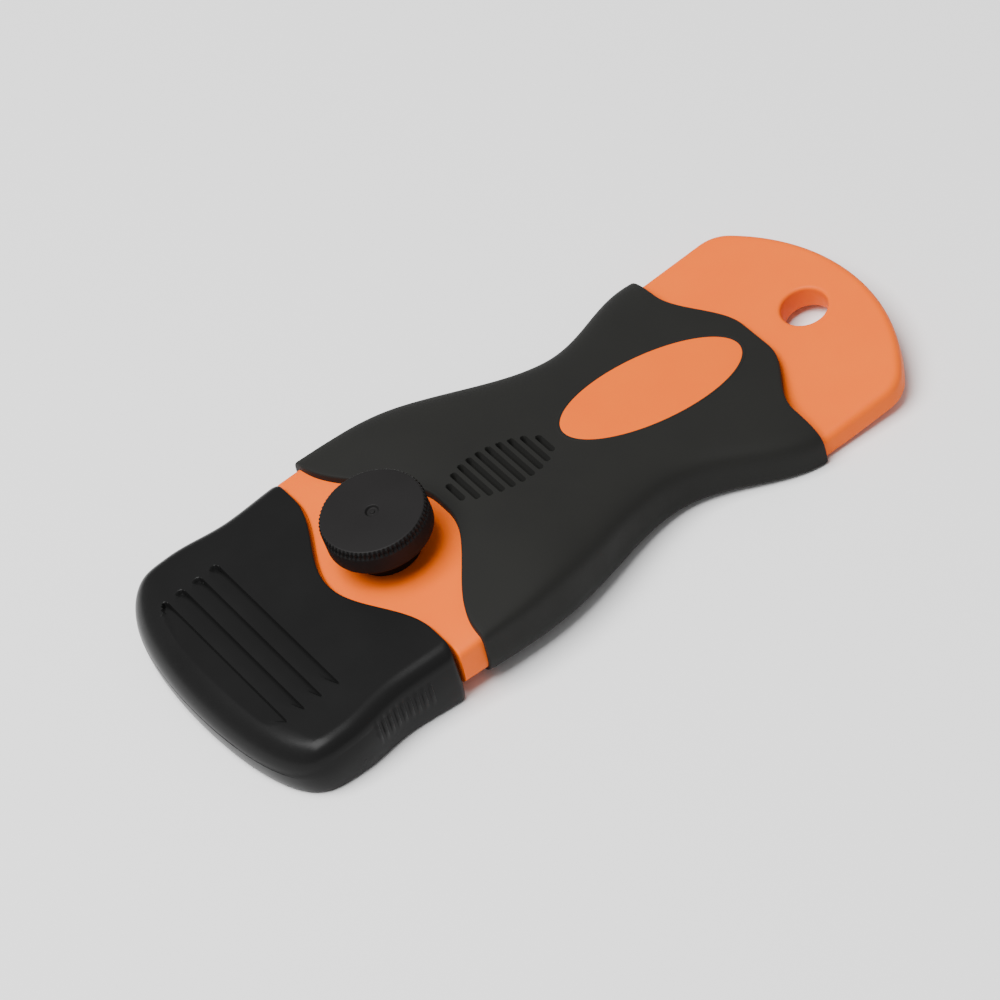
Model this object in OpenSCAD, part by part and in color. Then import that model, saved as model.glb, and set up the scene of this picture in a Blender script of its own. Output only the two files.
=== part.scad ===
// Razor blade scraper: overmoulded handle, screw clamp for a single-edge blade, pull-off blade cap.
// +X runs from the blade end to the tail, +Z is up, and the origin is at the middle of the footprint.

/* [Overall] */
// Length over the cap and the tail
overall_l = 110; // [106:0.5:114]
// Distance from the cap's nose to the screw axis, on the deck
knob_setback = 32.7; // [32:0.1:33.5]
// Lean of the head and its screw toward the blade, in degrees
head_tilt = 5.7; // [5:0.1:6.4]

/* [Handle] */
// Height of the deck at the screw axis
deck_h = 9.1; // [8.9:0.05:9.4]
// Width of the bare shoulder between the cap and the grip
shoulder_w = 43.4; // [42:0.2:43.8]
// Height of the shoulder's underside over the table
shoulder_lift = 1; // [0.6:0.1:1.4]
// Width of the jaws
jaw_w = 38.6; // [36:0.2:38.8]
// Length of the upper jaw in front of the screw axis
jaw_reach = 22; // [20:0.2:22.4]
// Thickness of the deck over the blade
deck_t = 2.4; // [2:0.1:2.6]
// Step from the deck down to the upper jaw, for the cap's wall
jaw_step = 0.5; // [0.4:0.05:0.7]
// Thickness left at the front edge of each jaw
jaw_edge_t = 0.7; // [0.5:0.1:1.2]
// Length of the bevel along the front of each jaw
jaw_bevel_l = 5; // [3:0.5:7]
// Width of the tail
tail_w = 42; // [38:0.5:43]
// Thickness of the tail
tail_t = 3.8; // [3.5:0.1:3.9]
// Height of the tail's top face at the hole
tail_h = 5; // [4.8:0.1:5.4]
// Height of the tail's underside over the table, where it leaves the grip
tail_lift = 0.75; // [0.5:0.05:1]
// Rise of the tail toward its end, in degrees
tail_rise = 5.7; // [4:0.1:6.5]
// Radius of the tail's end arc
tail_end_r = 30; // [28:1:60]
// Radius of the tail's corners
tail_corner_r = 5.5; // [3:0.5:7]
// Rounding of the tail's edges
tail_edge_r = 1.1; // [0.6:0.1:1.5]
// Diameter of the hanging hole
hole_d = 6.6; // [5:0.1:8]
// Distance from the hole's centre to the tail's end
hole_inset = 8.75; // [7:0.25:10]
// Countersink that softens the hole's rims
hole_soft = 0.5; // [0.2:0.1:0.8]

/* [Grip] */
// Width at the front corners
grip_front_w = 44.8; // [44:0.2:45.4]
// Width at the waist
grip_waist_w = 31; // [29:0.2:35]
// Width at the rear corners
grip_rear_w = 43.4; // [43:0.2:44.6]
// Thickness of the rubber
grip_t = 1.6; // [1.2:0.1:2]
// Length of the bare shoulder at the sides, from the cap's rear corners to the grip's front corners
shoulder_l = 3.95; // [3.5:0.05:4.5]
// Distance from the waist to the tail's end
waist_inset = 41.75; // [39:0.25:44]
// Distance from the rear corners to the tail's end
grip_inset = 22.3; // [21:0.1:24]
// Height of the grip over the waist
waist_h = 8.7; // [8.4:0.1:9]
// Fall of the grip's back toward the tail, in degrees
grip_fall = 6.95; // [6.3:0.05:7.4]
// Height of the grip's front edge over the deck
grip_step = 1.2; // [0.9:0.1:1.4]
// Height at which the front corners are widest
front_middle = 7.6; // [6.5:0.1:8.2]
// Height at which the rear corners are widest
rear_middle = 0.6; // [0.4:0.1:1.5]
// Reach of the front edge round the knob
front_wave = 9.3; // [8.8:0.1:9.8]
// Reach of the rear edge's tongue over the tail
rear_wave = 5.35; // [3:0.05:6.5]
// Length of the window
window_l = 28.7; // [22:0.1:30]
// Width of the window
window_w = 12.8; // [9:0.2:15]
// Distance from the window's centre to the tail's end
window_inset = 34.2; // [33.5:0.1:35]
// Number of grooves in the thumb field
groove_n = 10; // [6:1:11]
// Pitch of the grooves
groove_pitch = 1.6; // [1.4:0.05:1.7]
// Width of a groove
groove_w = 0.9; // [0.6:0.05:1]
// Depth of a groove
groove_depth = 0.4; // [0.3:0.05:0.45]
// Half-length of the longest groove
groove_half = 4.4; // [3:0.1:6]
// Distance from the screw axis to the first groove
groove_start = 11.4; // [11:0.1:12]

/* [Clamp] */
// Diameter of the knob's head
knob_d = 14.7; // [13:0.1:16]
// Height of the knob's head
knob_h = 3.7; // [3:0.1:4.5]
// Height of the hub under the head
hub_h = 4.2; // [3.4:0.1:5]
// Diameter of the hub
hub_d = 9.4; // [8:0.1:11]
// Number of knurls round the head
knurl_n = 72; // [48:6:90]
// Depth of a knurl
knurl_depth = 0.25; // [0.15:0.05:0.3]
// Bevel round the top of the head
knob_bevel = 0.5; // [0.35:0.05:0.7]
// Bevel round the bottom of the head
knob_foot_bevel = 0.35; // [0.35:0.05:0.5]
// Diameter of the dimple in the top
dimple_d = 1.9; // [1.2:0.1:3]
// Depth of the dimple
dimple_depth = 0.35; // [0.2:0.05:0.5]
// Diameter of the stud
stud_d = 4; // [3:0.1:5]
// Bevel round the stud's tip
stud_tip = 0.5; // [0.2:0.1:0.8]
// Depth of the stud in the knob
stud_root = 6; // [5:0.1:6.5]
// Width of the nut across its flats
nut_w = 7; // [6.5:0.1:8]
// Thickness of the nut
nut_t = 3.2; // [2.4:0.1:3.4]
// Thickness of the lower jaw along the blade
lower_jaw_t = 1.6; // [1.2:0.1:1.8]
// Thickness of the lower jaw round the nut
boss_t = 4.3; // [4:0.1:4.6]
// Diameter of the lower jaw's round end
boss_d = 14; // [12:0.2:15]

/* [Blade] */
// Length of the cutting edge
blade_l = 39; // [36:0.2:39.2]
// Depth from the edge to the back
blade_depth = 19; // [18:0.1:19.4]
// Thickness of the blade
blade_t = 0.23; // [0.15:0.01:0.3]
// Width of the ground bevel
blade_bevel = 1.2; // [0.6:0.1:2]
// Distance that the edge stands out of the upper jaw
blade_out = 4.6; // [4:0.1:4.8]
// Depth of the folded strip on the back
spine_depth = 5.4; // [4:0.1:6]
// Thickness over the folded strip
spine_t = 1; // [0.7:0.05:1.2]
// Length of the notch at each end
notch_l = 3.2; // [2:0.1:4]
// Depth of the notch at each end
notch_depth = 1.6; // [1:0.1:2]

/* [Cap] */
// Widest part, across the front
cap_w = 45.4; // [44.6:0.2:47]
// Width at the drawn-in sides
cap_waist_w = 43; // [42.4:0.2:44]
// Width at the rear corners
cap_rear_w = 43.6; // [42.8:0.2:45]
// Distance of the rear corners in front of the screw axis
cap_lead = 4.15; // [3.7:0.05:4.5]
// Distance from the nose to the widest part
cap_wide_at = 11.2; // [10:0.1:12]
// Distance from the nose to the narrowest part
cap_waist_at = 20.7; // [19.5:0.1:22]
// Height of the top at the widest part
cap_h = 8.3; // [8.2:0.05:8.8]
// Fall of the top toward the nose, in degrees
cap_fall = 4.95; // [4:0.05:5.4]
// Height of the nose and of the parting line
cap_part_h = 3.25; // [2.8:0.05:3.8]
// Rounding of the top edge along the sides
cap_side_r = 1.2; // [0.8:0.1:2]
// Rounding of the top edge over the nose
cap_nose_r = 4.4; // [3.6:0.1:4.8]
// Rounding of the lower edge
cap_sole_r = 0.8; // [0.5:0.1:1.5]
// Thickness of the floor
cap_floor = 1.3; // [1:0.05:1.5]
// Reach of the rear edge in front of the knob
cap_wave = 5.4; // [5:0.05:6]
// Number of finger slots
slot_n = 4; // [2:1:4]
// Pitch of the finger slots
slot_pitch = 2.78; // [2.4:0.02:3]
// Width of a finger slot
slot_w = 1.6; // [1.2:0.1:2]
// Depth of a finger slot at its rear edge
slot_depth = 0.45; // [0.3:0.05:0.5]
// Depth of a finger slot at its front edge
slot_lip = 0.1; // [0.05:0.05:0.2]
// Length of a finger slot
slot_l = 30; // [24:0.5:31]
// Distance from the nose to the rear edge of the first finger slot
slot_start = 6.35; // [6:0.05:7]
// Number of grip ribs on each side
rib_n = 9; // [5:1:10]
// Pitch of the grip ribs
rib_pitch = 1.25; // [1:0.05:1.3]
// Width of a grip rib
rib_w = 0.6; // [0.4:0.05:0.8]
// Height of a grip rib
rib_h = 3.6; // [3:0.1:4.2]
// Distance from the parting line up to a grip rib
rib_foot = 0.2; // [0.1:0.05:0.4]
// Distance that a grip rib stands out at the parting line
rib_out = 0.15; // [0.1:0.05:0.3]

/* [Fits] */
// Gap between the rubber and what it is moulded on
bond_gap = 0.02; // [0.01:0.01:0.05]
// Gap between the cap and the handle
cap_gap = 0.35; // [0.25:0.05:0.4]
// Gap round the lower jaw in its pocket
jaw_gap = 0.35; // [0.25:0.05:0.5]
// Gap that a clamped or seated face keeps
seat_gap = 0.05; // [0.02:0.01:0.08]
// Radial gap of the stud in the deck and the lower jaw
stud_gap = 0.2; // [0.1:0.05:0.3]
// Radial gap of the stud in the nut
thread_gap = 0.05; // [0.02:0.01:0.1]
// Travel of the lower jaw along the screw
jaw_travel = 0.875; // [0.6:0.025:0.9]

/* [Hidden] */
$fn = 48;
nose_x = -overall_l / 2;
tail_x = overall_l / 2;
knob_x = nose_x + knob_setback;
hole_x = tail_x - hole_inset;
grip_rear_x = tail_x - grip_inset;
waist_x = tail_x - waist_inset;
window_x = tail_x - window_inset;
cap_rear_x = knob_x - cap_lead;
grip_front_x = cap_rear_x + shoulder_l;
cap_wide_x = nose_x + cap_wide_at;
cap_waist_x = nose_x + cap_waist_at;
// Levels below the deck, measured along the screw
blade_z = -deck_t;
jaw_z = blade_z - blade_t - seat_gap;
boss_z = jaw_z - boss_t;
// Blade positions along the head, measured from the screw axis
edge_u = -jaw_reach - blade_out;
back_u = edge_u + blade_depth;
// Wall of the strip that is folded over the blade's back
spine_wall = (spine_t - blade_t) / 2 - bond_gap;
// Form factors: squareness of the sections, spread of the edge waves, fullness of the front swell
grip_square = 6;
sole_square = 4;
shoulder_middle = 6;
shoulder_square = 7;
sole_sink = 0.4;
front_swell = 1.46;
hump_blend = 0.9;
front_flat = 1;
front_half = 21;
rear_flat = 2.8;
rear_half = 15.7;
cap_half = 16.5;
nose_square = 3.66;
// Room beyond a cut or a clip
past = 1;
far = 40;
// Fineness of the lofts
ring_n = 40;
loft_step = 3;
wave_n = 12;
nose_n = 10;
nose_spread = 1.5;
orange = "darkorange";
black = "#2c2c2b";
steel = "silver";

function mix(a, b, t) = a + (b - a) * t;
function unit(t) = min(1, max(0, t));
function ease(t) = (1 - cos(180 * unit(t))) / 2;
// Smaller of two heights, with the corner between them rounded over
function soft_min(a, b, k) = min(a, b) - pow(max(k - abs(a - b), 0), 2) / (4 * k);

// Height of the deck's plane over the table
function deck_at(x) = deck_h + (x - knob_x) * tan(head_tilt);
// Half-width of the grip: full at the front, drawn in to the waist, flared to the rear
function grip_half_w(x) = x < waist_x
    ? mix(grip_front_w, grip_waist_w,
        ease(pow(unit((x - grip_front_x) / (waist_x - grip_front_x)), front_swell))) / 2
    : mix(grip_waist_w, grip_rear_w, ease((x - waist_x) / (grip_rear_x - waist_x))) / 2;
// Height of the grip's back: it climbs with the deck, then falls toward the tail
function grip_top(x) = soft_min(deck_at(x) + grip_step,
    waist_h - (x - waist_x) * tan(grip_fall), hump_blend);
// Height at which the grip is widest
function grip_middle(x) = mix(front_middle, rear_middle,
    unit((x - grip_front_x) / (grip_rear_x - grip_front_x)));
// Half-width of the cap behind its widest part
function cap_half_w(x) = x < cap_waist_x
    ? mix(cap_w, cap_waist_w, ease((x - cap_wide_x) / (cap_waist_x - cap_wide_x))) / 2
    : mix(cap_waist_w, cap_rear_w, ease((x - cap_waist_x) / (cap_rear_x - cap_waist_x))) / 2;
// Height of the cap's top
function cap_top(x) = cap_h + (x - cap_wide_x) * tan(cap_fall);

// Edge waves in plan: a reach on the centre line that eases out to the sides
function wave(y, reach, flat, half) = reach * (1 - ease((abs(y) - flat) / (half - flat)));
// An edge across the plan, from one side to the other: the wave, with straight runs outside it
function edge_line(x, reach, flat, half) = concat([[x, -far]],
    [for (i = [-wave_n : wave_n]) let (y = half * i / wave_n) [x + wave(y, reach, flat, half), y]],
    [[x, far]]);
function grip_front_edge(gap) = edge_line(grip_front_x + gap, front_wave, front_flat, front_half);
function grip_rear_edge() = edge_line(grip_rear_x, rear_wave, rear_flat, rear_half);
function cap_rear_edge(gap) = edge_line(cap_rear_x + gap, -cap_wave, 0, cap_half);
function reversed(points) = [for (i = [len(points) - 1 : -1 : 0]) points[i]];

// Closed section across X: squared ellipses above and below the widest level, each [height, squareness],
// flat where they are clipped at the floor and the roof
function section(x, half_w, middle, upper, lower, floor_z, roof_z) =
    [for (i = [0 : ring_n - 1])
        let (a = 360 * i / ring_n,
            arch = sin(a) > 0 ? upper : lower,
            r = pow(pow(abs(cos(a)), arch[1]) + pow(abs(sin(a)), arch[1]), -1 / arch[1]),
            z = middle + abs(arch[0] - middle) * r * sin(a))
        [x, half_w * r * cos(a), min(roof_z, max(floor_z, z))]];
// Section of the grip's body, drawn in by a depth under its skin
function grip_section(x, depth) = section(x, grip_half_w(x) - depth, max(grip_middle(x), depth),
    [grip_top(x) - depth, grip_square], [depth - sole_sink, sole_square], depth, far);

// Headings along a closed outline, one at each point
function headings(outline) = let (n = len(outline))
    [for (i = [0 : n - 1]) let (d = outline[(i + 1) % n] - outline[(i + n - 1) % n]) d / norm(d)];
// Points of an outline drawn in along its normals, each by its own distance
function drawn_in(outline, inset) = let (d = headings(outline))
    [for (i = [0 : len(outline) - 1]) outline[i] + inset[i] * [-d[i].y, d[i].x]];

// Flat end of a ring that mirrors about its first point, cut into strips from side to side
function end_strips(n) = [for (i = [0 : floor((n - 1) / 2)])
    let (a = i, b = i + 1, c = n - 1 - i, d = (n - i) % n)
    each concat(b < c ? [[a, b, c]] : [], a != d && a < c ? [[a, c, d]] : [])];

// Solid skinned over rings of equal count, with flat ends
module skin(rings) {
    n = len(rings[0]);
    m = len(rings);
    sides = [for (k = [0 : m - 2], i = [0 : n - 1])
        let (a = k * n + i, b = k * n + (i + 1) % n)
        each [[a, a + n, b], [b, a + n, b + n]]];
    last = [for (f = end_strips(n)) reversed(f) + (m - 1) * [n, n, n]];
    polyhedron(points = [for (r = rings) each r], faces = concat(end_strips(n), sides, last));
}

// Body of the grip between two stations, drawn in by a depth under its skin
module grip_body(from, to, depth) {
    count = ceil((to - from) / loft_step);
    skin([for (i = [0 : count]) grip_section(mix(from, to, i / count), depth)]);
}

// Upright prism over the plan between two edge waves
module between(front, rear) {
    translate([0, 0, -far]) linear_extrude(2 * far) polygon(concat(front, reversed(rear)));
}

// Places its children on the deck, square to the screw
module on_head() {
    translate([knob_x, 0, deck_h]) rotate([0, -head_tilt, 0]) children();
}

// Places its children on the tail's top face, at the hole
module on_tail() {
    translate([hole_x, 0, tail_h]) rotate([0, -tail_rise, 0]) children();
}

// Plate across the head from a side profile in the head's own plane
module across_head(profile, width) {
    on_head() rotate([90, 0, 0]) translate([0, 0, -width / 2]) linear_extrude(width) polygon(profile);
}

// Tail slab: an outline with an arced end and round corners, its edges rolled over
module tail_slab(grow) {
    end_u = (tail_x - hole_x - (tail_t - tail_edge_r) * sin(tail_rise)) / cos(tail_rise);
    start_u = (waist_x - hole_x) / 2;
    half = tail_w / 2 + grow;
    arc_c = end_u + grow - tail_end_r;
    corner_y = half - tail_corner_r;
    corner_u = arc_c + sqrt(pow(tail_end_r - tail_corner_r, 2) - corner_y * corner_y);
    meet = atan2(corner_y, corner_u - arc_c);
    side = concat(
        [for (a = [0 : 6 : meet - 3]) [arc_c + tail_end_r * cos(a), tail_end_r * sin(a)]],
        [for (i = [0 : 5]) let (a = mix(meet, 90, i / 5))
            [corner_u, corner_y] + tail_corner_r * [cos(a), sin(a)]],
        [[mix(start_u, corner_u, 0.5), half], [start_u, half]]);
    n = len(side);
    outline = concat(side, [for (i = [n - 1 : -1 : 1]) [side[i].x, -side[i].y]]);
    levels = concat(
        [for (a = [0 : 30 : 90]) [1 - sin(a), -tail_t - grow + tail_edge_r * (1 - cos(a))]],
        [for (a = [90 : -30 : 0]) [1 - sin(a), grow - tail_edge_r * (1 - cos(a))]]);
    intersection() {
        on_tail() skin([for (l = levels)
            [for (p = drawn_in(outline, [for (p = outline) tail_edge_r * l[0]])) [p.x, p.y, l[1]]]]);
        translate([-far * 2, -far, tail_lift - grow]) cube([far * 4, far * 2, far]);
    }
}

// Hanging hole with softened rims
module hanging_hole() {
    on_tail() {
        translate([0, 0, -tail_t - past]) cylinder(d = hole_d, h = tail_t + 2 * past);
        translate([0, 0, -hole_soft]) cylinder(d1 = hole_d, d2 = hole_d + 2 * hole_soft + 2 * past,
            h = hole_soft + past);
        translate([0, 0, -tail_t - past]) cylinder(d1 = hole_d + 2 * hole_soft + 2 * past, d2 = hole_d,
            h = hole_soft + past);
    }
}

// Plan of the window, drawn larger by a gap
module window_plan(gap) {
    polygon([for (a = [0 : 6 : 354])
        [window_x + (window_l / 2 + gap) * cos(a), (window_w / 2 + gap) * sin(a)]]);
}

// Plan of the lower jaw on the head: a wide front and a round tongue under the screw
module jaw_plan(gap) {
    tongue_u = back_u - seat_gap;
    translate([-jaw_reach - gap, -jaw_w / 2 - gap])
        square([jaw_reach + tongue_u + 2 * gap, jaw_w + 2 * gap]);
    translate([tongue_u - past, -boss_d / 2 - gap]) square([past - tongue_u, boss_d + 2 * gap]);
    circle(d = boss_d + 2 * gap);
}

// Bare shoulder round the knob, between the cap's edge and the grip's edge
module shoulder() {
    from = cap_rear_x - cap_wave;
    to = grip_front_x + front_wave + past;
    count = ceil((to - from) / loft_step);
    intersection() {
        skin([for (i = [0 : count]) let (x = mix(from, to, i / count))
            section(x, shoulder_w / 2, shoulder_middle, [deck_at(x) + sole_sink, shoulder_square],
                [shoulder_lift - sole_sink, sole_square], shoulder_lift, deck_at(x))]);
        between(cap_rear_edge(cap_gap), grip_front_edge(-bond_gap));
    }
}

// Upper jaw: the plate in front of the shoulder, bevelled to its front edge
module upper_jaw() {
    across_head([[-jaw_reach, blade_z], [0, blade_z], [0, -jaw_step],
        [-jaw_reach + jaw_bevel_l, -jaw_step], [-jaw_reach, blade_z + jaw_edge_t]], jaw_w);
}

// Lugs under the upper jaw that stand in the blade's end notches
module blade_lugs() {
    inner_y = blade_l / 2 - notch_depth + seat_gap;
    on_head() translate([back_u - spine_depth - notch_l + seat_gap, 0, blade_z - blade_t])
        for (side = [0, 1]) mirror([0, side, 0]) translate([0, inner_y, 0])
            cube([notch_l - 2 * seat_gap, jaw_w / 2 - inner_y, blade_t + past]);
}

module handle_core() {
    color(orange) {
        difference() {
            union() {
                shoulder();
                upper_jaw();
                grip_body(grip_front_x + past, grip_rear_x + rear_wave - past, grip_t);
                intersection() {
                    grip_body(window_x - window_l / 2 - past, window_x + window_l / 2 + past, 0);
                    translate([0, 0, grip_t + past]) linear_extrude(far) window_plan(0);
                }
                tail_slab(0);
            }
            hanging_hole();
            on_head() {
                translate([0, 0, -far / 2]) cylinder(d = stud_d + 2 * stud_gap, h = far);
                translate([0, 0, blade_z - far]) linear_extrude(far) jaw_plan(jaw_gap);
            }
            spine_groove(blade_z + (spine_t - blade_t) / 2 + seat_gap, past);
        }
        blade_lugs();
    }
}

// Room for the folded strip, from a level on the head down by a depth
module spine_groove(top, depth) {
    on_head() translate([back_u - spine_depth - seat_gap, -blade_l / 2 - past, top - depth])
        cube([spine_depth + 2 * seat_gap, blade_l + 2 * past, depth]);
}

module rubber_grip() {
    color(black) difference() {
        intersection() {
            grip_body(grip_front_x - past, grip_rear_x + rear_wave + past, 0);
            between(grip_front_edge(0), grip_rear_edge());
        }
        grip_body(grip_front_x - 2 * past, grip_rear_x + rear_wave + 2 * past, grip_t - bond_gap);
        tail_slab(bond_gap);
        translate([0, 0, grip_t + past]) linear_extrude(far) window_plan(bond_gap);
        thumb_grooves();
    }
}

// Field of round grooves across the grip, the lengths following an ellipse
module thumb_grooves() {
    radius = (pow(groove_w / 2, 2) + groove_depth * groove_depth) / (2 * groove_depth);
    middle = (groove_n - 1) / 2;
    for (i = [0 : groove_n - 1]) {
        x = knob_x + groove_start + i * groove_pitch;
        half = groove_half * sqrt(1 - pow((i - middle) / (middle + 0.5), 2));
        translate([x, 0, grip_top(x) - groove_depth + radius]) {
            rotate([90, 0, 0]) cylinder(r = radius, h = 2 * half - groove_w, center = true);
            for (side = [-1, 1]) translate([0, side * (half - groove_w / 2), 0]) sphere(r = radius);
        }
    }
}

module clamp_jaw() {
    drop = boss_t - lower_jaw_t;
    color(orange) difference() {
        on_head() {
            difference() {
                translate([0, 0, jaw_z - lower_jaw_t]) linear_extrude(lower_jaw_t) jaw_plan(0);
                translate([-jaw_reach, 0, jaw_z - jaw_edge_t]) rotate([90, 0, 0])
                    linear_extrude(jaw_w + 2 * past, center = true)
                        polygon([[-past, 0], [0, 0], [jaw_bevel_l, jaw_edge_t - lower_jaw_t],
                            [jaw_bevel_l, -lower_jaw_t - past], [-past, -lower_jaw_t - past]]);
            }
            translate([0, 0, boss_z]) cylinder(d = boss_d, h = drop + seat_gap);
        }
        on_head() {
            translate([0, 0, -far / 2]) cylinder(d = stud_d + 2 * stud_gap, h = far);
            translate([0, 0, boss_z - past])
                cylinder(d = (nut_w + 2 * seat_gap) / cos(30), h = nut_t + past + seat_gap, $fn = 6);
        }
        spine_groove(jaw_z + past, past + (spine_t - blade_t) / 2);
    }
}

module hex_nut() {
    color(steel) on_head() translate([0, 0, boss_z]) difference() {
        cylinder(d = nut_w / cos(30), h = nut_t, $fn = 6);
        translate([0, 0, -past]) cylinder(d = stud_d + 2 * thread_gap, h = nut_t + 2 * past);
    }
}

// Ring of knurls: a toothed round, bevelled at its top and bottom edges
module knurled_head() {
    intersection() {
        linear_extrude(knob_h) polygon([for (i = [0 : 2 * knurl_n - 1])
            let (a = 180 * i / knurl_n, r = knob_d / 2 - (i % 2) * knurl_depth)
            r * [cos(a), sin(a)]]);
        rotate_extrude() polygon([[0, 0], [knob_d / 2 - knob_foot_bevel, 0],
            [knob_d / 2 + past, knob_foot_bevel + past], [knob_d / 2 + past, knob_h - knob_bevel - past],
            [knob_d / 2 - knob_bevel, knob_h], [0, knob_h]]);
    }
}

module clamp_knob() {
    color(black) on_head() difference() {
        union() {
            translate([0, 0, seat_gap]) cylinder(d = hub_d, h = hub_h);
            translate([0, 0, hub_h]) knurled_head();
        }
        cylinder(d = stud_d + 2 * bond_gap, h = stud_root + bond_gap);
        translate([0, 0, hub_h + knob_h - dimple_depth])
            cylinder(d1 = dimple_d - 2 * dimple_depth, d2 = dimple_d + 2 * past, h = dimple_depth + past);
    }
}

module clamp_stud() {
    end = boss_z - jaw_travel;
    color(steel) on_head() rotate_extrude() polygon([[0, end], [stud_d / 2 - stud_tip, end],
        [stud_d / 2, end + stud_tip], [stud_d / 2, stud_root], [0, stud_root]]);
}

module razor_blade() {
    under = blade_z - blade_t;
    rear_u = back_u - spine_wall;
    color(steel) difference() {
        across_head([[edge_u, blade_z - blade_t / 2], [edge_u + blade_bevel, under], [rear_u, under],
            [rear_u, blade_z], [edge_u + blade_bevel, blade_z]], blade_l);
        on_head() translate([back_u - spine_depth - notch_l, 0, under - past])
            for (side = [0, 1]) mirror([0, side, 0]) translate([0, blade_l / 2 - notch_depth, 0])
                cube([notch_l, notch_depth + past, blade_t + 2 * past]);
    }
}

module blade_spine() {
    mid = blade_z - blade_t / 2;
    slit = blade_t / 2 + bond_gap;
    mouth_u = back_u - spine_depth;
    fold_u = back_u - spine_wall + bond_gap;
    color(steel) across_head([[mouth_u, mid + slit], [mouth_u, mid + spine_t / 2],
        [back_u, mid + spine_t / 2], [back_u, mid - spine_t / 2], [mouth_u, mid - spine_t / 2],
        [mouth_u, mid - slit], [fold_u, mid - slit], [fold_u, mid + slit]], blade_l);
}

// Outer form of the cap: a plan outline rolled over the parting line, up to the sloping top
module cap_block() {
    rear_x = knob_x + past;
    nose = [for (i = [0 : nose_n - 1]) let (a = 90 * (1 - pow(1 - i / nose_n, nose_spread)))
        [cap_wide_x - cap_wide_at * pow(cos(a), 2 / nose_square), cap_w / 2 * sin(a)]];
    count = ceil((rear_x - cap_wide_x) / loft_step);
    flank = [for (i = [0 : count]) let (x = mix(cap_wide_x, rear_x, i / count)) [x, cap_half_w(x)]];
    side = concat(nose, flank);
    n = len(side);
    outline = concat([for (p = side) [p.x, -p.y]], [for (i = [n - 1 : -1 : 1]) side[i]]);
    // The roll of the top edge widens where the outline faces forward
    roll = [for (d = headings(outline)) mix(cap_side_r, cap_nose_r, pow(max(0, -d.y), 2))];
    sole_roll = [for (r = roll) cap_sole_r];
    sole = [for (a = [90 : -30 : 0]) [for (p = drawn_in(outline, sole_roll * (1 - cos(a))))
        [p.x, p.y, cap_part_h * (1 - sin(a))]]];
    crown = [for (a = [18 : 18 : 90]) [for (p = drawn_in(outline, roll * (1 - cos(a))))
        [p.x, p.y, mix(cap_part_h, cap_top(p.x), sin(a))]]];
    skin(concat(sole, crown));
}

// Hollow of the cap, parallel to the table below and to the deck above
module cap_hollow() {
    front_x = knob_x + (edge_u - 2 * cap_gap) * cos(head_tilt);
    half = max(blade_l, jaw_w) / 2 + cap_gap;
    rear_x = knob_x + far;
    rotate([90, 0, 0]) linear_extrude(2 * half, center = true)
        polygon([[front_x, cap_floor], [rear_x, cap_floor], [rear_x, deck_at(rear_x) - jaw_step + cap_gap],
            [front_x, deck_at(front_x) - jaw_step + cap_gap]]);
}

// Finger slots across the cap's top: round-ended, each floor falling from its front edge to its rear edge
module finger_slots() {
    ramp = atan((slot_depth - slot_lip) / slot_w);
    middle = (slot_l - slot_w) / 2;
    for (i = [0 : slot_n - 1]) {
        x = nose_x + slot_start + i * slot_pitch - slot_w / 2;
        translate([x, 0, cap_top(x) - (slot_depth + slot_lip) / 2]) rotate([0, ramp - cap_fall, 0])
            linear_extrude(2 * past) {
                square([slot_w, 2 * middle], center = true);
                for (side = [-1, 1]) translate([0, side * middle]) circle(d = slot_w);
            }
    }
}

// Upright grip ribs on the drawn-in sides of the cap
module side_ribs() {
    for (side = [-1, 1], i = [0 : rib_n - 1]) {
        x = cap_waist_x + (i - (rib_n - 1) / 2) * rib_pitch;
        translate([x, side * (cap_half_w(x) - rib_w / 2 + rib_out), cap_part_h + rib_foot])
            cylinder(d = rib_w, h = rib_h);
    }
}

module blade_cap() {
    color(black) difference() {
        intersection() {
            union() {
                cap_block();
                side_ribs();
            }
            between([[nose_x - past, -far], [nose_x - past, far]], cap_rear_edge(0));
        }
        cap_hollow();
        finger_slots();
    }
}

handle_core();
rubber_grip();
clamp_jaw();
hex_nut();
clamp_knob();
clamp_stud();
razor_blade();
blade_spine();
blade_cap();
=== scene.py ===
"""Dressed model of a pocket scraper for razor blades: its visible surfaces, their finishes and a studio.

The frame is the CAD's. X runs from the cap's nose to the tail, Z is up and the table is Z = 0. Sizes are
millimetres, and turn into metres where a mesh, the lamp or the camera is made.
"""

from __future__ import annotations

import logging
import math
from collections.abc import Callable
from dataclasses import dataclass, field
from enum import Enum

import bmesh
import bpy
import numpy as np
from mathutils import Matrix, Vector

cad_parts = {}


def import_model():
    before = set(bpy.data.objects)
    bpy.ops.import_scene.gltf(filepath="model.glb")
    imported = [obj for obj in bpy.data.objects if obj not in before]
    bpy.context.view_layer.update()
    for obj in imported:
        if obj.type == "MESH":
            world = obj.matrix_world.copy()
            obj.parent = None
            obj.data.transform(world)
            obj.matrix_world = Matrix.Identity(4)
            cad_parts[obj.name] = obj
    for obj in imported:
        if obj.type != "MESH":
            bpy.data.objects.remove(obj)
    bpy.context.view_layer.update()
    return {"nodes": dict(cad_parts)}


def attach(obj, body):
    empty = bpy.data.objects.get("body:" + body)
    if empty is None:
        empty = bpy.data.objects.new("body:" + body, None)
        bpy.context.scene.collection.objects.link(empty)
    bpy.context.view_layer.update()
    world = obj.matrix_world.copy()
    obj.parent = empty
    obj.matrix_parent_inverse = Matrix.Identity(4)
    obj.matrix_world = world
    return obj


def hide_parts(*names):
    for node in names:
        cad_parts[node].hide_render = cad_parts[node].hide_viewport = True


Array = np.ndarray

# Metres in a millimetre
MM = 0.001
# Points closer than this are welded, in metres
WELD = 1e-7
# Faces that meet at more than this angle keep their edge
SHARP_DEG = 40.0
# Least length that another is divided by, in millimetres
TINY = 1e-6
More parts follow.
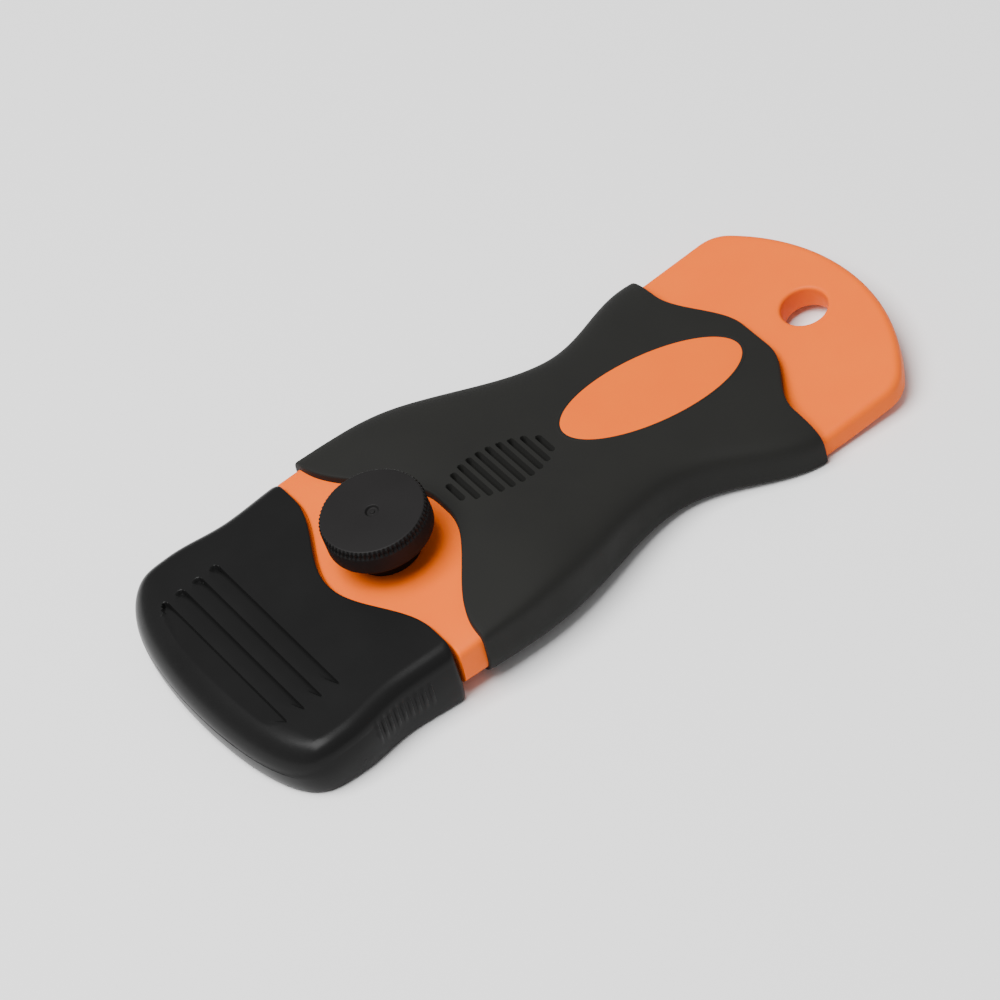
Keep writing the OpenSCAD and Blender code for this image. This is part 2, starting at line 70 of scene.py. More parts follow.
# A full and a quarter turn
TURN = 2.0 * math.pi
RIGHT_ANGLE = math.pi / 2.0
# Points on a quarter circle and on the rounding of a profile's corner
ARC_STEPS = 7
CORNER_STEPS = 6
# Repetitions that settle where a meeting line crosses a column
SETTLE_STEPS = 8
# Middle stretch of a noise's values
NOISE_LOW, NOISE_HIGH = 0.3, 0.7
# Detail of the noises: the melt's slow flow, the mould's grain and the marks in metal
FLOW_NOISE = {"Detail": 3.0, "Roughness": 0.55}
GRAIN_NOISE = {"Detail": 2.0, "Roughness": 0.6}
MARK_NOISE = {"Detail": 4.0, "Roughness": 0.6}
# Sockets of a Mix node that is set to colours
MIX_FACTOR, MIX_A, MIX_B, MIX_RESULT = 0, 6, 7, 2
# The sRGB curve: end of its straight part, that part's slope, and the curved part's offset and power
SRGB_KNEE, SRGB_SLOPE, SRGB_OFFSET, SRGB_POWER = 0.04045, 12.92, 0.055, 2.4

log = logging.getLogger("scraper")


class Body(Enum):
    """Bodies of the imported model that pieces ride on."""

    HANDLE = "handle"
    KNOB = "knob"
    CAP = "cap"


class Slot(Enum):
    """Material slots of the record."""

    ORANGE_ABS = "orange_abs"
    BLACK_RUBBER = "black_rubber"
    BLACK_ABS = "black_abs"
    PLATED_STEEL = "plated_steel"


def ease(t: Array) -> Array:
    """Half a cosine wave from 0 to 1, flat at both ends."""
    return (1.0 - np.cos(np.pi * np.clip(t, 0.0, 1.0))) / 2.0


def mix(a: Array, b: Array, t: Array) -> Array:
    """Straight blend from a to b."""
    return a + (b - a) * t


def soft_min(a: Array, b: Array, k: float) -> Array:
    """The lower of a and b, rounded where they come within k of each other."""
    return np.minimum(a, b) - np.maximum(k - np.abs(a - b), 0.0) ** 2 / (4.0 * k)


def soft_max(a: Array, b: Array, k: float) -> Array:
    """The higher of a and b, rounded where they come within k of each other."""
    return -soft_min(-a, -b, k)


def bulge(v: Array, n: float) -> Array:
    """Height of a squared ellipse of power n over v from -1 to 1: the n-th root of 1 - |v|^n."""
    return np.maximum(1.0 - np.abs(v) ** n, 0.0) ** (1.0 / n)


def mirrored(half: Array) -> Array:
    """Whole row of columns from its half, which starts at 0 and grows."""
    return np.concatenate([-half[::-1], half[1:]])


def rolled_columns(inner: Array, n: float, count: int) -> Array:
    """Columns from 0 to 1 that end in the turned-down side of a squared ellipse.

    From the last inner column to 1 they are r cos a, with r = (cos^n a + sin^n a)^(-1/n) and the angle a
    in even steps, so that they crowd where the side stands upright.

    Args:
        inner: growing columns from 0 on the flat part.
        n: power of the squared ellipse.
        count: columns on the turned-down side.

    Returns:
        The growing columns, the last of them 1.
    """
    start = math.atan2(float(bulge(inner[-1:], n)[0]), float(inner[-1]))
    a = np.linspace(start, 0.0, count + 1)[1:]
    r = (np.cos(a) ** n + np.sin(a) ** n) ** (-1.0 / n)
    return np.concatenate([inner, np.minimum(r * np.cos(a), 1.0)])


def points(x: Array, y: Array, z: Array) -> Array:
    """Coordinates stacked into points on the last axis."""
    return np.stack(np.broadcast_arrays(x, y, z), axis=-1)


def quarter(rising: bool) -> Array:
    """Angles of a quarter circle in a column, from 0 to 90 degrees or back."""
    q = np.linspace(0.0, RIGHT_ANGLE, ARC_STEPS)[:, None]
    return q if rising else q[::-1]


def steps(count: int) -> Array:
    """Even shares from 0 to 1 in a column."""
    return np.linspace(0.0, 1.0, count)[:, None]


@dataclass
class Shell:
    """Closed surface: points of a grid and the quads between them."""

    points: Array
    faces: Array

    @classmethod
    def of_grid(cls, grid: Array, ring: bool = False) -> Shell:
        """Surface over a grid whose first index runs round a closed loop.

        Point (i, j) meets (i + 1, j), (i + 1, j + 1) and (i, j + 1), with i wrapping round. The signed
        volume, a sixth of the summed triple products over the triangles, tells which way the quads face;
        where it is negative they are turned round.

        Args:
            grid: points by place in the loop and column.
            ring: whether the columns run round too; otherwise the outer loops are collapsed.

        Returns:
            The surface.
        """
        rows, columns = grid.shape[:2]
        i = np.arange(rows)[:, None]
        j = np.arange(columns if ring else columns - 1)[None, :]
        i_next, j_next = (i + 1) % rows * columns, (j + 1) % columns
        corners = [i * columns + j, i_next + j, i_next + j_next, i * columns + j_next]
        place, quads = grid.reshape(-1, 3), np.stack(corners, axis=-1).reshape(-1, 4)
        a, b, c, d = (place[quads[:, k]] for k in range(4))
        volume = np.sum(a * (np.cross(b, c) + np.cross(c, d)))
        return cls(place, quads if volume > 0.0 else quads[:, ::-1])


def build_piece(name: str, shells: list[Shell], material: bpy.types.Material, body: Body, node: str) -> bpy.types.Object:
    """Puts closed surfaces into one mesh, welds their poles and hands it to the frame.

    Args:
        name: name of the piece.
        shells: its surfaces, in millimetres.
        material: finish of the piece.
        body: body that it rides on.
        node: CAD node that it stands for.

    Returns:
        The piece, at the origin.
    """
    starts = np.cumsum([0] + [len(shell.points) for shell in shells[:-1]])
    verts = np.concatenate([shell.points for shell in shells]) * MM
    faces = np.concatenate([shell.faces + start for shell, start in zip(shells, starts)])
    mesh = bpy.data.meshes.new(name)
    mesh.from_pydata(verts.tolist(), [], faces.tolist())
    work = bmesh.new()
    work.from_mesh(mesh)
    bmesh.ops.remove_doubles(work, verts=work.verts[:], dist=WELD)
    bmesh.ops.dissolve_degenerate(work, edges=work.edges[:], dist=WELD)
    work.to_mesh(mesh)
    work.free()
    mesh.polygons.foreach_set("use_smooth", np.ones(len(mesh.polygons), dtype=bool))
    mesh.set_sharp_from_angle(angle=math.radians(SHARP_DEG))
    mesh.materials.append(material)
    piece = bpy.data.objects.new(name, mesh)
    bpy.context.scene.collection.objects.link(piece)
    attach(piece, body.value)
    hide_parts(node)
    log.info("%s: %d faces on %s", name, len(mesh.polygons), body.value)
    return piece


def linear(hex_colour: str) -> tuple[float, float, float, float]:
    """Turns an sRGB hex colour into the linear colour that a shader takes.

    Args:
        hex_colour: six hex digits after a hash sign.

    Returns:
        Red, green, blue and full alpha.
    """
    srgb = np.array([int(hex_colour[i:i + 2], 16) / 255.0 for i in (1, 3, 5)])
    curved = ((srgb + SRGB_OFFSET) / (1.0 + SRGB_OFFSET)) ** SRGB_POWER
    rgb = np.where(srgb <= SRGB_KNEE, srgb / SRGB_SLOPE, curved)
    return (*rgb.tolist(), 1.0)


def add_node(tree: bpy.types.NodeTree, kind: str, settings: dict, links: dict) -> bpy.types.Node:
    """Adds a node with its settings and links.

    Args:
        tree: the material's node tree.
        kind: Blender's name for the kind of node.
        settings: values by the name of an input socket or of a property.
        links: output sockets by the name of the input socket they feed.

    Returns:
        The node.
    """
    node = tree.nodes.new(kind)
    for key, value in settings.items():
        if key in node.inputs:
            node.inputs[key].default_value = value
        else:
            setattr(node, key, value)
    for key, source in links.items():
        tree.links.new(source, node.inputs[key])
    return node


def per_metre(size_mm: float) -> float:
    """Scale of a pattern whose repeat has a size in millimetres."""
    return 1.0 / (size_mm * MM)


def blank_material(name: str) -> tuple[bpy.types.Material, bpy.types.NodeSocket]:
    """Starts a material that holds only the coordinates its patterns read.

    Args:
        name: name of the material.

    Returns:
        The material and its Object coordinates.
    """
    material = bpy.data.materials.new(name)
    material.use_nodes = True
    material.node_tree.nodes.clear()
    place = add_node(material.node_tree, "ShaderNodeTexCoord", {}, {})
    return material, place.outputs["Object"]


@dataclass(frozen=True)
class MouldedFinish:
    """Plastic or rubber out of a textured steel mould.

    The mould's spark-eroded texture breaks up the gloss, and slow changes of colour and gloss across the
    surface come from the way the melt filled the mould.
    """

    name: str
    colour: str
    flow_colour: str
    roughness: tuple[float, float]
    grain_mm: float
    grain_depth_mm: float
    ior: float
    specular: float = 0.5
    flow_mm: float = 9.0
    sheen: float = 0.0
    sheen_roughness: float = 0.6
    subsurface: float = 0.0
    subsurface_mm: float = 0.6

    def material(self) -> bpy.types.Material:
        """Builds the material: flow noise drives colour and roughness, grain noise drives the bump.

        Returns:
            The material.
        """
        material, place = blank_material(self.name)
        tree = material.node_tree
        flow = add_node(tree, "ShaderNodeTexNoise", {"Scale": per_metre(self.flow_mm), **FLOW_NOISE},
                        {"Vector": place}).outputs["Fac"]
        grain = add_node(tree, "ShaderNodeTexNoise", {"Scale": per_metre(self.grain_mm), **GRAIN_NOISE},
                         {"Vector": place}).outputs["Fac"]
        colour = add_node(tree, "ShaderNodeMix", {"data_type": "RGBA"}, {})
        colour.inputs[MIX_A].default_value = linear(self.colour)
        colour.inputs[MIX_B].default_value = linear(self.flow_colour)
        tree.links.new(flow, colour.inputs[MIX_FACTOR])
        rough = add_node(tree, "ShaderNodeMapRange",
                         {"From Min": NOISE_LOW, "From Max": NOISE_HIGH, "To Min": self.roughness[0],
                          "To Max": self.roughness[1]}, {"Value": flow}).outputs["Result"]
        bump = add_node(tree, "ShaderNodeBump",
                        {"Strength": 1.0, "Distance": self.grain_depth_mm * MM},
                        {"Height": grain}).outputs["Normal"]
        shader = add_node(tree, "ShaderNodeBsdfPrincipled",
                          {"IOR": self.ior, "Specular IOR Level": self.specular,
                           "Sheen Weight": self.sheen, "Sheen Roughness": self.sheen_roughness,
                           "Subsurface Weight": self.subsurface,
                           "Subsurface Scale": self.subsurface_mm * MM},
                          {"Base Color": colour.outputs[MIX_RESULT], "Roughness": rough, "Normal": bump})
        add_node(tree, "ShaderNodeOutputMaterial", {}, {"Surface": shader.outputs["BSDF"]})
        return material


@dataclass(frozen=True)
class GrainedMetal:
    """Metal with fine parallel marks along one direction, from grinding or rolling."""

    name: str
    colour: str
    roughness: tuple[float, float]
    grain_mm: float
    grain_depth_mm: float
    stretch: tuple[float, float, float]

    def material(self) -> bpy.types.Material:
        """Builds the material: noise drawn out along the marks drives roughness and bump.

        Returns:
            The material.
        """
        material, place = blank_material(self.name)
        tree = material.node_tree
        drawn = add_node(tree, "ShaderNodeMapping", {"Scale": self.stretch}, {"Vector": place})
        marks = add_node(tree, "ShaderNodeTexNoise", {"Scale": per_metre(self.grain_mm), **MARK_NOISE},
                         {"Vector": drawn.outputs["Vector"]}).outputs["Fac"]
        rough = add_node(tree, "ShaderNodeMapRange",
                         {"From Min": NOISE_LOW, "From Max": NOISE_HIGH, "To Min": self.roughness[0],
                          "To Max": self.roughness[1]}, {"Value": marks}).outputs["Result"]
        bump = add_node(tree, "ShaderNodeBump",
                        {"Strength": 1.0, "Distance": self.grain_depth_mm * MM},
                        {"Height": marks}).outputs["Normal"]
        shader = add_node(tree, "ShaderNodeBsdfPrincipled",
                          {"Base Color": linear(self.colour), "Metallic": 1.0},
                          {"Roughness": rough, "Normal": bump})
        add_node(tree, "ShaderNodeOutputMaterial", {}, {"Surface": shader.outputs["BSDF"]})
        return material


# Real mould grain and grinding marks are a tenth of a millimetre or finer. Here they are drawn coarser, so
# that they show in a picture of the whole scraper.

# Moulded ABS in orange: a dry satin face that keeps its colour up to the edges.
ORANGE_ABS = MouldedFinish("moulded_orange_abs", "#E95E00", "#EE6700", (0.46, 0.56), 0.32, 0.006, 1.53,
                           specular=0.12, subsurface=0.08)
# Thermoplastic rubber, overmoulded: nearly no gloss, a soft grey bloom at grazing angles.
BLACK_RUBBER = MouldedFinish("overmoulded_black_rubber", "#1B1B1A", "#1F1F1D", (0.6, 0.72), 0.26, 0.012,
                             1.5, specular=0.1, sheen=0.015)
# Moulded ABS in black: satin, smoother than the handle, so it shows broad soft highlights.
BLACK_ABS = MouldedFinish("moulded_black_abs", "#151515", "#171717", (0.27, 0.34), 0.3, 0.004, 1.53,
                          specular=0.09)
# The same ABS from a coarser mould: the knob's face is drier and a little greyer than the cap.
KNOB_ABS = MouldedFinish("textured_black_abs", "#181717", "#1B1A1A", (0.48, 0.56), 0.28, 0.008, 1.53,
                         specular=0.1)
# Zinc-plated steel screw stock: bright, slightly clouded, with drawing marks along the screw.
ZINC_PLATE = GrainedMetal("zinc_plated_steel", "#B9BCBE", (0.24, 0.4), 0.4, 0.004, (1.0, 1.0, 0.15))
# Ground blade steel: fine grinding marks run from the back to the edge.
GROUND_STEEL = GrainedMetal("ground_blade_steel", "#A9ADB1", (0.18, 0.36), 0.12, 0.003, (0.04, 1.0, 1.0))
# Rolled aluminium strip: dull and pale, with rolling marks along the blade.
ROLLED_STRIP = GrainedMetal("rolled_aluminium_strip", "#C6C8CA", (0.34, 0.5), 0.2, 0.004, (1.0, 0.05, 1.0))


@dataclass(frozen=True)
class Layout:
    """Lines that several pieces share: the deck's slope and the waves where pieces meet."""

    knob_x: float = -22.3
    head_tilt: float = 5.7
    deck_h: float = 9.1
    cap_rear_x: float = -26.45
    cap_wave: float = 5.4
    cap_wave_half: float = 16.5
    grip_front_x: float = -22.5
    front_wave: float = 9.3
    front_flat: float = 1.0
    front_half: float = 21.0
    grip_rear_x: float = 32.7
    rear_wave: float = 5.35
    rear_flat: float = 2.8
    rear_half: float = 15.7

    def deck_at(self, x: Array) -> Array:
        """Height of the deck, which slopes up towards the tail."""
        return self.deck_h + (x - self.knob_x) * math.tan(math.radians(self.head_tilt))

    @staticmethod
    def wave(y: Array, reach: float, flat: float, half: float) -> Array:
        """Bay of a meeting line: full reach within flat of the middle, eased to nothing at half."""
        return reach * (1.0 - ease((np.abs(y) - flat) / (half - flat)))

    def cap_rear(self, y: Array) -> Array:
        """Rear edge of the cap."""
        return self.cap_rear_x - self.wave(y, self.cap_wave, 0.0, self.cap_wave_half)

    def grip_front(self, y: Array) -> Array:
        """Front edge of the rubber grip."""
        return self.grip_front_x + self.wave(y, self.front_wave, self.front_flat, self.front_half)

    def grip_rear(self, y: Array) -> Array:
        """Rear edge of the rubber grip."""
        return self.grip_rear_x + self.wave(y, self.rear_wave, self.rear_flat, self.rear_half)

    def on_head(self, u: Array, v: Array, w: Array) -> Array:
        """Points given along, across and square to the deck, with the screw's axis as origin.

        Args:
            u: distance along the deck, towards the tail.
            v: distance across.
            w: height above the deck.

        Returns:
            The points in the frame.
        """
        a = math.radians(self.head_tilt)
        return points(self.knob_x + u * math.cos(a) - w * math.sin(a), v,
                      self.deck_h + u * math.sin(a) + w * math.cos(a))


@dataclass
class RubberGrip:
    """Overmoulded grip: waisted in plan, humped in side view, with thumb grooves and a window."""

    layout: Layout
    front_w: float = 44.8
    waist_w: float = 31.0
    rear_w: float = 43.4
    waist_x: float = 13.25
    waist_h: float = 8.7
    fall: float = 6.95
    step: float = 1.2
    front_swell: float = 1.46
    hump_blend: float = 0.9
    front_middle: float = 7.6
    rear_middle: float = 0.6
    crown_square: float = 6.0
    sole_square: float = 4.0
    sole_sink: float = 0.4
    sole_soft: float = 0.3
    edge_r: float = 0.35
    edge_share: float = 0.45
    groove_n: int = 10
    groove_pitch: float = 1.6
    groove_w: float = 0.95
    groove_depth: float = 1.5
    groove_half: float = 4.4
    groove_start: float = 11.4
    window_l: float = 28.7
    window_w: float = 13.1
    window_x: float = 20.8
    bead_r: float = 0.13
    bead_seat: float = 0.7
    field_share: float = 0.3
    roll_share: float = 0.88
    field_columns: int = 44
    side_columns: int = 26
    roll_columns: int = 24
    front_rows: int = 16
    groove_rows: int = 6
    back_rows: int = 70
    bead_rows: int = 12
    window_steps: int = 240

    def half_w(self, x: Array) -> Array:
        """Half width in plan: eased from the front to the waist and from the waist to the rear.

        Args:
            x: place along the scraper.

        Returns:
            The half width.
        """
        front_x, rear_x = self.layout.grip_front_x, self.layout.grip_rear_x
        ahead = np.clip((x - front_x) / (self.waist_x - front_x), 0.0, 1.0) ** self.front_swell
        behind = (x - self.waist_x) / (rear_x - self.waist_x)
        return np.where(x < self.waist_x, mix(self.front_w, self.waist_w, ease(ahead)),
                        mix(self.waist_w, self.rear_w, ease(behind))) / 2.0

    def crest(self, x: Array) -> Array:
        """Height on the centre line: the raised deck line, rounded over into the falling back."""
        back = self.waist_h - (x - self.waist_x) * math.tan(math.radians(self.fall))
        return soft_min(self.layout.deck_at(x) + self.step, back, self.hump_blend)

    def middle(self, x: Array) -> Array:
        """Height where the section is widest, falling evenly from front to rear."""
        front_x, rear_x = self.layout.grip_front_x, self.layout.grip_rear_x
        return mix(self.front_middle, self.rear_middle, (x - front_x) / (rear_x - front_x))

    def smooth_top(self, x: Array, y: Array) -> Array:
        """Upper surface without its grooves: a squared ellipse from the widest height to the crest."""
        middle = self.middle(x)
        return middle + (self.crest(x) - middle) * bulge(y / self.half_w(x), self.crown_square)

    def top(self, x: Array, y: Array) -> Array:
        """Upper surface with the thumb grooves pressed in.

        Each groove is a parabola across the distance from a short line, whose length follows an ellipse
        over the field.

        Args:
            x: place along the scraper.
            y: place across.

        Returns:
            The height.
        """
        first = self.layout.knob_x + self.groove_start
        last = self.groove_n - 1
        i = np.clip(np.round((x - first) / self.groove_pitch), 0, last)
        half = self.groove_half * np.sqrt(1.0 - ((i - last / 2.0) / (last / 2.0 + 0.5)) ** 2)
        past_end = np.maximum(np.abs(y) - half + self.groove_w / 2.0, 0.0)
        away = np.hypot(x - first - i * self.groove_pitch, past_end) / (self.groove_w / 2.0)
        return self.smooth_top(x, y) - self.groove_depth * np.maximum(1.0 - away ** 2, 0.0)

    def bottom(self, x: Array, y: Array) -> Array:
        """Underside: a squared ellipse below the widest height, flattened on the table.

        Args:
            x: place along the scraper.
            y: place across.

        Returns:
            The height.
        """
        middle = self.middle(x)
        low = middle - (middle + self.sole_sink) * bulge(y / self.half_w(x), self.sole_square)
        return soft_max(low, np.zeros_like(low), self.sole_soft)

    def edge(self, v: Array, line: Callable[[Array], Array], start: float) -> Array:
        """Where a meeting line crosses each column: x = line(v half_w(x)), found by repetition.

        Args:
            v: columns, as shares of the half width.
            line: the meeting line's place along the scraper, by the place across.
            start: first guess of the place.

        Returns:
            The place along the scraper at each column.
        """
        x = np.full_like(v, start)
        for _ in range(SETTLE_STEPS):
            x = line(v * self.half_w(x))
        return x

    def grid(self) -> Array:
        """Loops round the grip in the X-Z plane, one for each column across it.

        A loop goes over the front edge's quarter circle, along the top, over the rear edge and back along
        the underside, through the same places, so that the two meet at the flanks. Rows crowd at the
        grooves' edges.

        Returns:
            Points by place in the loop and column.
        """
        inner = np.concatenate([np.linspace(0.0, self.field_share, self.field_columns),
                                np.linspace(self.field_share, self.roll_share, self.side_columns)[1:]])
        v = mirrored(rolled_columns(inner, self.crown_square, self.roll_columns))
        front = self.edge(v, self.layout.grip_front, self.layout.grip_front_x)
        rear = self.edge(v, self.layout.grip_rear, self.layout.grip_rear_x)
        first = self.layout.knob_x + self.groove_start
        field_from = first - self.groove_pitch / 2.0
        field_to = first + (self.groove_n - 0.5) * self.groove_pitch
        half = self.groove_w / 2.0
        ridge = (half + self.groove_pitch / 2.0) / 2.0
        row = mirrored(np.append(half * np.sin(np.linspace(0.0, RIGHT_ANGLE, self.groove_rows)), ridge))
        rows = first + self.groove_pitch * np.arange(self.groove_n)[:, None] + row
        field_x = np.concatenate([[field_from], rows.ravel(), [field_to]])[:, None]
        r_front = np.minimum(self.edge_r, self.edge_share * self.thickness(front, v))
        r_rear = np.minimum(self.edge_r, self.edge_share * self.thickness(rear, v))
        over = [front + r_front * (1.0 - np.cos(quarter(True))),
                mix(front + r_front, np.full_like(v, field_from), steps(self.front_rows)[1:-1]),
                np.broadcast_to(field_x, (field_x.size, v.size)),
                mix(np.full_like(v, field_to), rear - r_rear, steps(self.back_rows)[1:-1]),
                rear - r_rear * (1.0 - np.cos(quarter(False)))]
        x = np.concatenate(over)
        y = v * self.half_w(x)
        fall = np.zeros_like(x)
        fall[:ARC_STEPS] = r_front * (1.0 - np.sin(quarter(True)))
        fall[-ARC_STEPS:] = r_rear * (1.0 - np.sin(quarter(False)))
        above = points(x, y, self.top(x, y) - fall)
        below = points(x, y, self.bottom(x, y) + fall)
        return np.concatenate([above, below[::-1]])

    def thickness(self, x: Array, v: Array) -> Array:
        """Height of the section at a column."""
        y = v * self.half_w(x)
        return self.smooth_top(x, y) - self.bottom(x, y)

    def window_point(self, share: Array, angle: Array, lift: Array) -> Array:
        """Points over the window's ellipse, at a share of its radius and a lift above the grip.

        Args:
            share: share of the ellipse's radius.
            angle: angle round the ellipse.
            lift: height above the grip.

        Returns:
            The points.
        """
        x = self.window_x + share * self.window_l / 2.0 * np.cos(angle)
        y = share * self.window_w / 2.0 * np.sin(angle)
        return points(x, y, self.smooth_top(x, y) + lift)

    def bead(self) -> Array:
        """Fine lip of rubber round the window: a round section carried along the ellipse.

        Returns:
            Points by place in the section and along the ellipse.
        """
        angle = np.linspace(0.0, TURN, self.window_steps, endpoint=False)[None, :]
        turn = np.linspace(0.0, TURN, self.bead_rows, endpoint=False)[:, None]
        share = 1.0 + self.bead_r * (1.0 + np.cos(turn)) / (self.window_w / 2.0)
        return self.window_point(share, angle, self.bead_r * (np.sin(turn) - self.bead_seat))

    def build(self) -> None:
        """Makes the grip with the lip round its window."""
        shells = [Shell.of_grid(self.grid()), Shell.of_grid(self.bead(), ring=True)]
        build_piece("rubber_grip_skin", shells, BLACK_RUBBER.material(), Body.HANDLE, "rubber_grip")


@dataclass
class HandleCore:
    """Orange core where it shows: shoulder round the knob, upper jaw, window and tail with its hole."""

    layout: Layout
    grip: RubberGrip
    shoulder_w: float = 43.4
    shoulder_middle: float = 6.0
    shoulder_lift: float = 1.0
    shoulder_square: float = 7.0
    sole_square: float = 4.0
    sink: float = 0.4
    brow: float = 0.6
    front_edge_r: float = 0.25
    edge_share: float = 0.4
    cap_gap: float = 0.35
    pocket_r: float = 7.35
    pocket_back: float = -7.3
    roof_gap: float = 0.02
    under_grip: float = 1.6
    jaw_w: float = 38.6
    jaw_reach: float = 22.0
    jaw_root: float = 3.0
    jaw_step: float = 0.5
    jaw_edge_t: float = 0.7
    jaw_bevel_l: float = 5.0
    jaw_middle: float = -1.4
    jaw_soft: float = 0.2
    jaw_soft_share: float = 0.8
    blade_w: float = -2.4
    spine_from: float = -13.05
    spine_to: float = -7.55
    spine_up: float = 0.435
    tail_w: float = 42.0
    tail_t: float = 3.8
    tail_h: float = 5.0
    tail_lift: float = 0.75
    tail_rise: float = 5.7
    tail_x: float = 55.0
    tail_end_r: float = 30.0
    tail_corner_r: float = 5.5
    tail_edge_r: float = 1.1
    tail_root: float = 9.0
    hole_x: float = 46.25
    hole_d: float = 6.6
    hole_soft: float = 0.5
    window_proud: float = 0.02
    window_edge_r: float = 0.12
    window_t: float = 1.2
    roll_share: float = 0.89
    pocket_columns: int = 24
    side_columns: int = 20
    roll_columns: int = 20
    deck_rows: int = 50
    roof_rows: int = 20
    window_rows: int = 26
    window_arc_rows: int = 9
    tail_rows: int = 24
    tail_arc_steps: int = 60
    tail_corner_steps: int = 40
    tail_side_steps: int = 30

    def shoulder_top(self, x: Array, v: Array) -> Array:
        """Deck with its sides turned down as a squared ellipse.

        Args:
            x: place along the scraper.
            v: columns, as shares of the half width.

        Returns:
            The height.
        """
        deck = self.layout.deck_at(x)
        rise = deck + self.sink - self.shoulder_middle
        return soft_min(deck, self.shoulder_middle + rise * bulge(v, self.shoulder_square), self.brow)

    def shoulder_bottom(self, v: Array) -> Array:
        """Underside of the shoulder, a squared ellipse flattened at its lift off the table.

        Args:
            v: columns, as shares of the half width.

        Returns:
            The height.
        """
        fall = self.shoulder_middle - self.shoulder_lift + self.sink
        low = self.shoulder_middle - fall * bulge(v, self.sole_square)
        return soft_max(low, np.full_like(low, self.shoulder_lift), self.brow)

    def shoulder(self) -> Array:
        """Loops in the X-Z plane: over the deck, back along the underside and up into the jaw's pocket.

        The pocket is a slot with a round end below the screw. Outside the slot it reaches back to
        pocket_back at most, and where the front face lies behind that, its rows collapse onto the face. The
        column at the slot's wall stands twice, so that the quads between the two make the wall.

        Returns:
            Points by place in the loop and column.
        """
        half = self.shoulder_w / 2.0
        edge = self.pocket_r / half
        inside = np.linspace(0.0, edge, self.pocket_columns)
        side = np.linspace(edge, self.roll_share, self.side_columns)
        outside = rolled_columns(side, self.shoulder_square, self.roll_columns)
        v = mirrored(np.concatenate([inside, outside]))
        in_pocket = mirrored(np.concatenate([np.ones_like(inside), np.zeros_like(outside)])) != 0.0
        y = v * half
        front = self.layout.cap_rear(y) + self.cap_gap
        rear = self.layout.grip_front(y) + self.under_grip
        pocket_end = self.layout.knob_x + np.sqrt(np.maximum(self.pocket_r ** 2 - y ** 2, 0.0))
        pocket_end = np.where(in_pocket, pocket_end,
                              np.maximum(front, self.layout.knob_x + self.pocket_back))
        low = self.shoulder_bottom(v)
        r = np.minimum(self.front_edge_r, self.edge_share * (self.shoulder_top(front, v) - low))
        q = quarter(True)
        x_edge = front + r * (1.0 - np.cos(q))
        x_top = mix(front + r, rear, steps(self.deck_rows)[1:])
        x_low = mix(rear, pocket_end, steps(self.deck_rows))
        x_roof = mix(pocket_end, front, steps(self.roof_rows))
        roof = np.maximum(self.layout.deck_at(x_roof) + self.blade_w + self.roof_gap, low)
        return np.concatenate([
            points(x_edge, y, self.shoulder_top(x_edge, v) - r * (1.0 - np.sin(q))),
            points(x_top, y, self.shoulder_top(x_top, v)),
            points(x_low, y, low),
            points(x_roof, y, np.minimum(roof, self.shoulder_top(x_roof, v) - r))])

    def upper_jaw(self) -> Array:
        """Plate in front of the shoulder, with its bevel and the groove for the blade's folded strip.

        A side profile is carried across; its end columns fall in to the plate's middle height.

        Returns:
            Points by place in the profile and column.
        """
        tip, root, top = -self.jaw_reach, -self.jaw_root, -self.jaw_step
        bevel, blade, groove = tip + self.jaw_bevel_l, self.blade_w, self.blade_w + self.spine_up
        profile = np.array([
            (tip, blade), (bevel, blade), (self.spine_from, blade), (self.spine_from, groove),
            (self.spine_to, groove), (self.spine_to, blade), (root, blade),
            (root, top), (self.spine_to, top), (self.spine_from, top), (bevel, top),
            (tip, blade + self.jaw_edge_t)])
        u, w = profile[:, :1], profile[:, 1:]
        middle = np.interp(u, [tip, bevel], [blade + self.jaw_edge_t / 2.0, self.jaw_middle])
        half, inner = self.jaw_w / 2.0, self.jaw_w / 2.0 - self.jaw_soft
        v = np.array([-half, -half, -inner, inner, half, half])
        share = np.array([0.0, self.jaw_soft_share, 1.0, 1.0, self.jaw_soft_share, 0.0])
        return self.layout.on_head(u, v, middle + (w - middle) * share)

    def window(self) -> Array:
        """Window let into the grip: a flush face over an ellipse, its rim turned down in a quarter circle.

        Returns:
            Points by place round the ellipse and along the section.
        """
        angle = np.linspace(0.0, TURN, self.grip.window_steps, endpoint=False)[:, None]
        q = np.linspace(0.0, RIGHT_ANGLE, self.window_arc_rows)
        inset = self.window_edge_r / (self.grip.window_w / 2.0)
        face = np.linspace(0.0, 1.0 - inset, self.window_rows)[:-1]
        share = np.concatenate([face, 1.0 - inset * (1.0 - np.sin(q)), [1.0, 0.0]])
        lift = np.concatenate([np.zeros_like(face), -self.window_edge_r * (1.0 - np.cos(q)),
                               [-self.window_t, -self.window_t]]) + self.window_proud
        return self.grip.window_point(share[None, :], angle, lift[None, :])

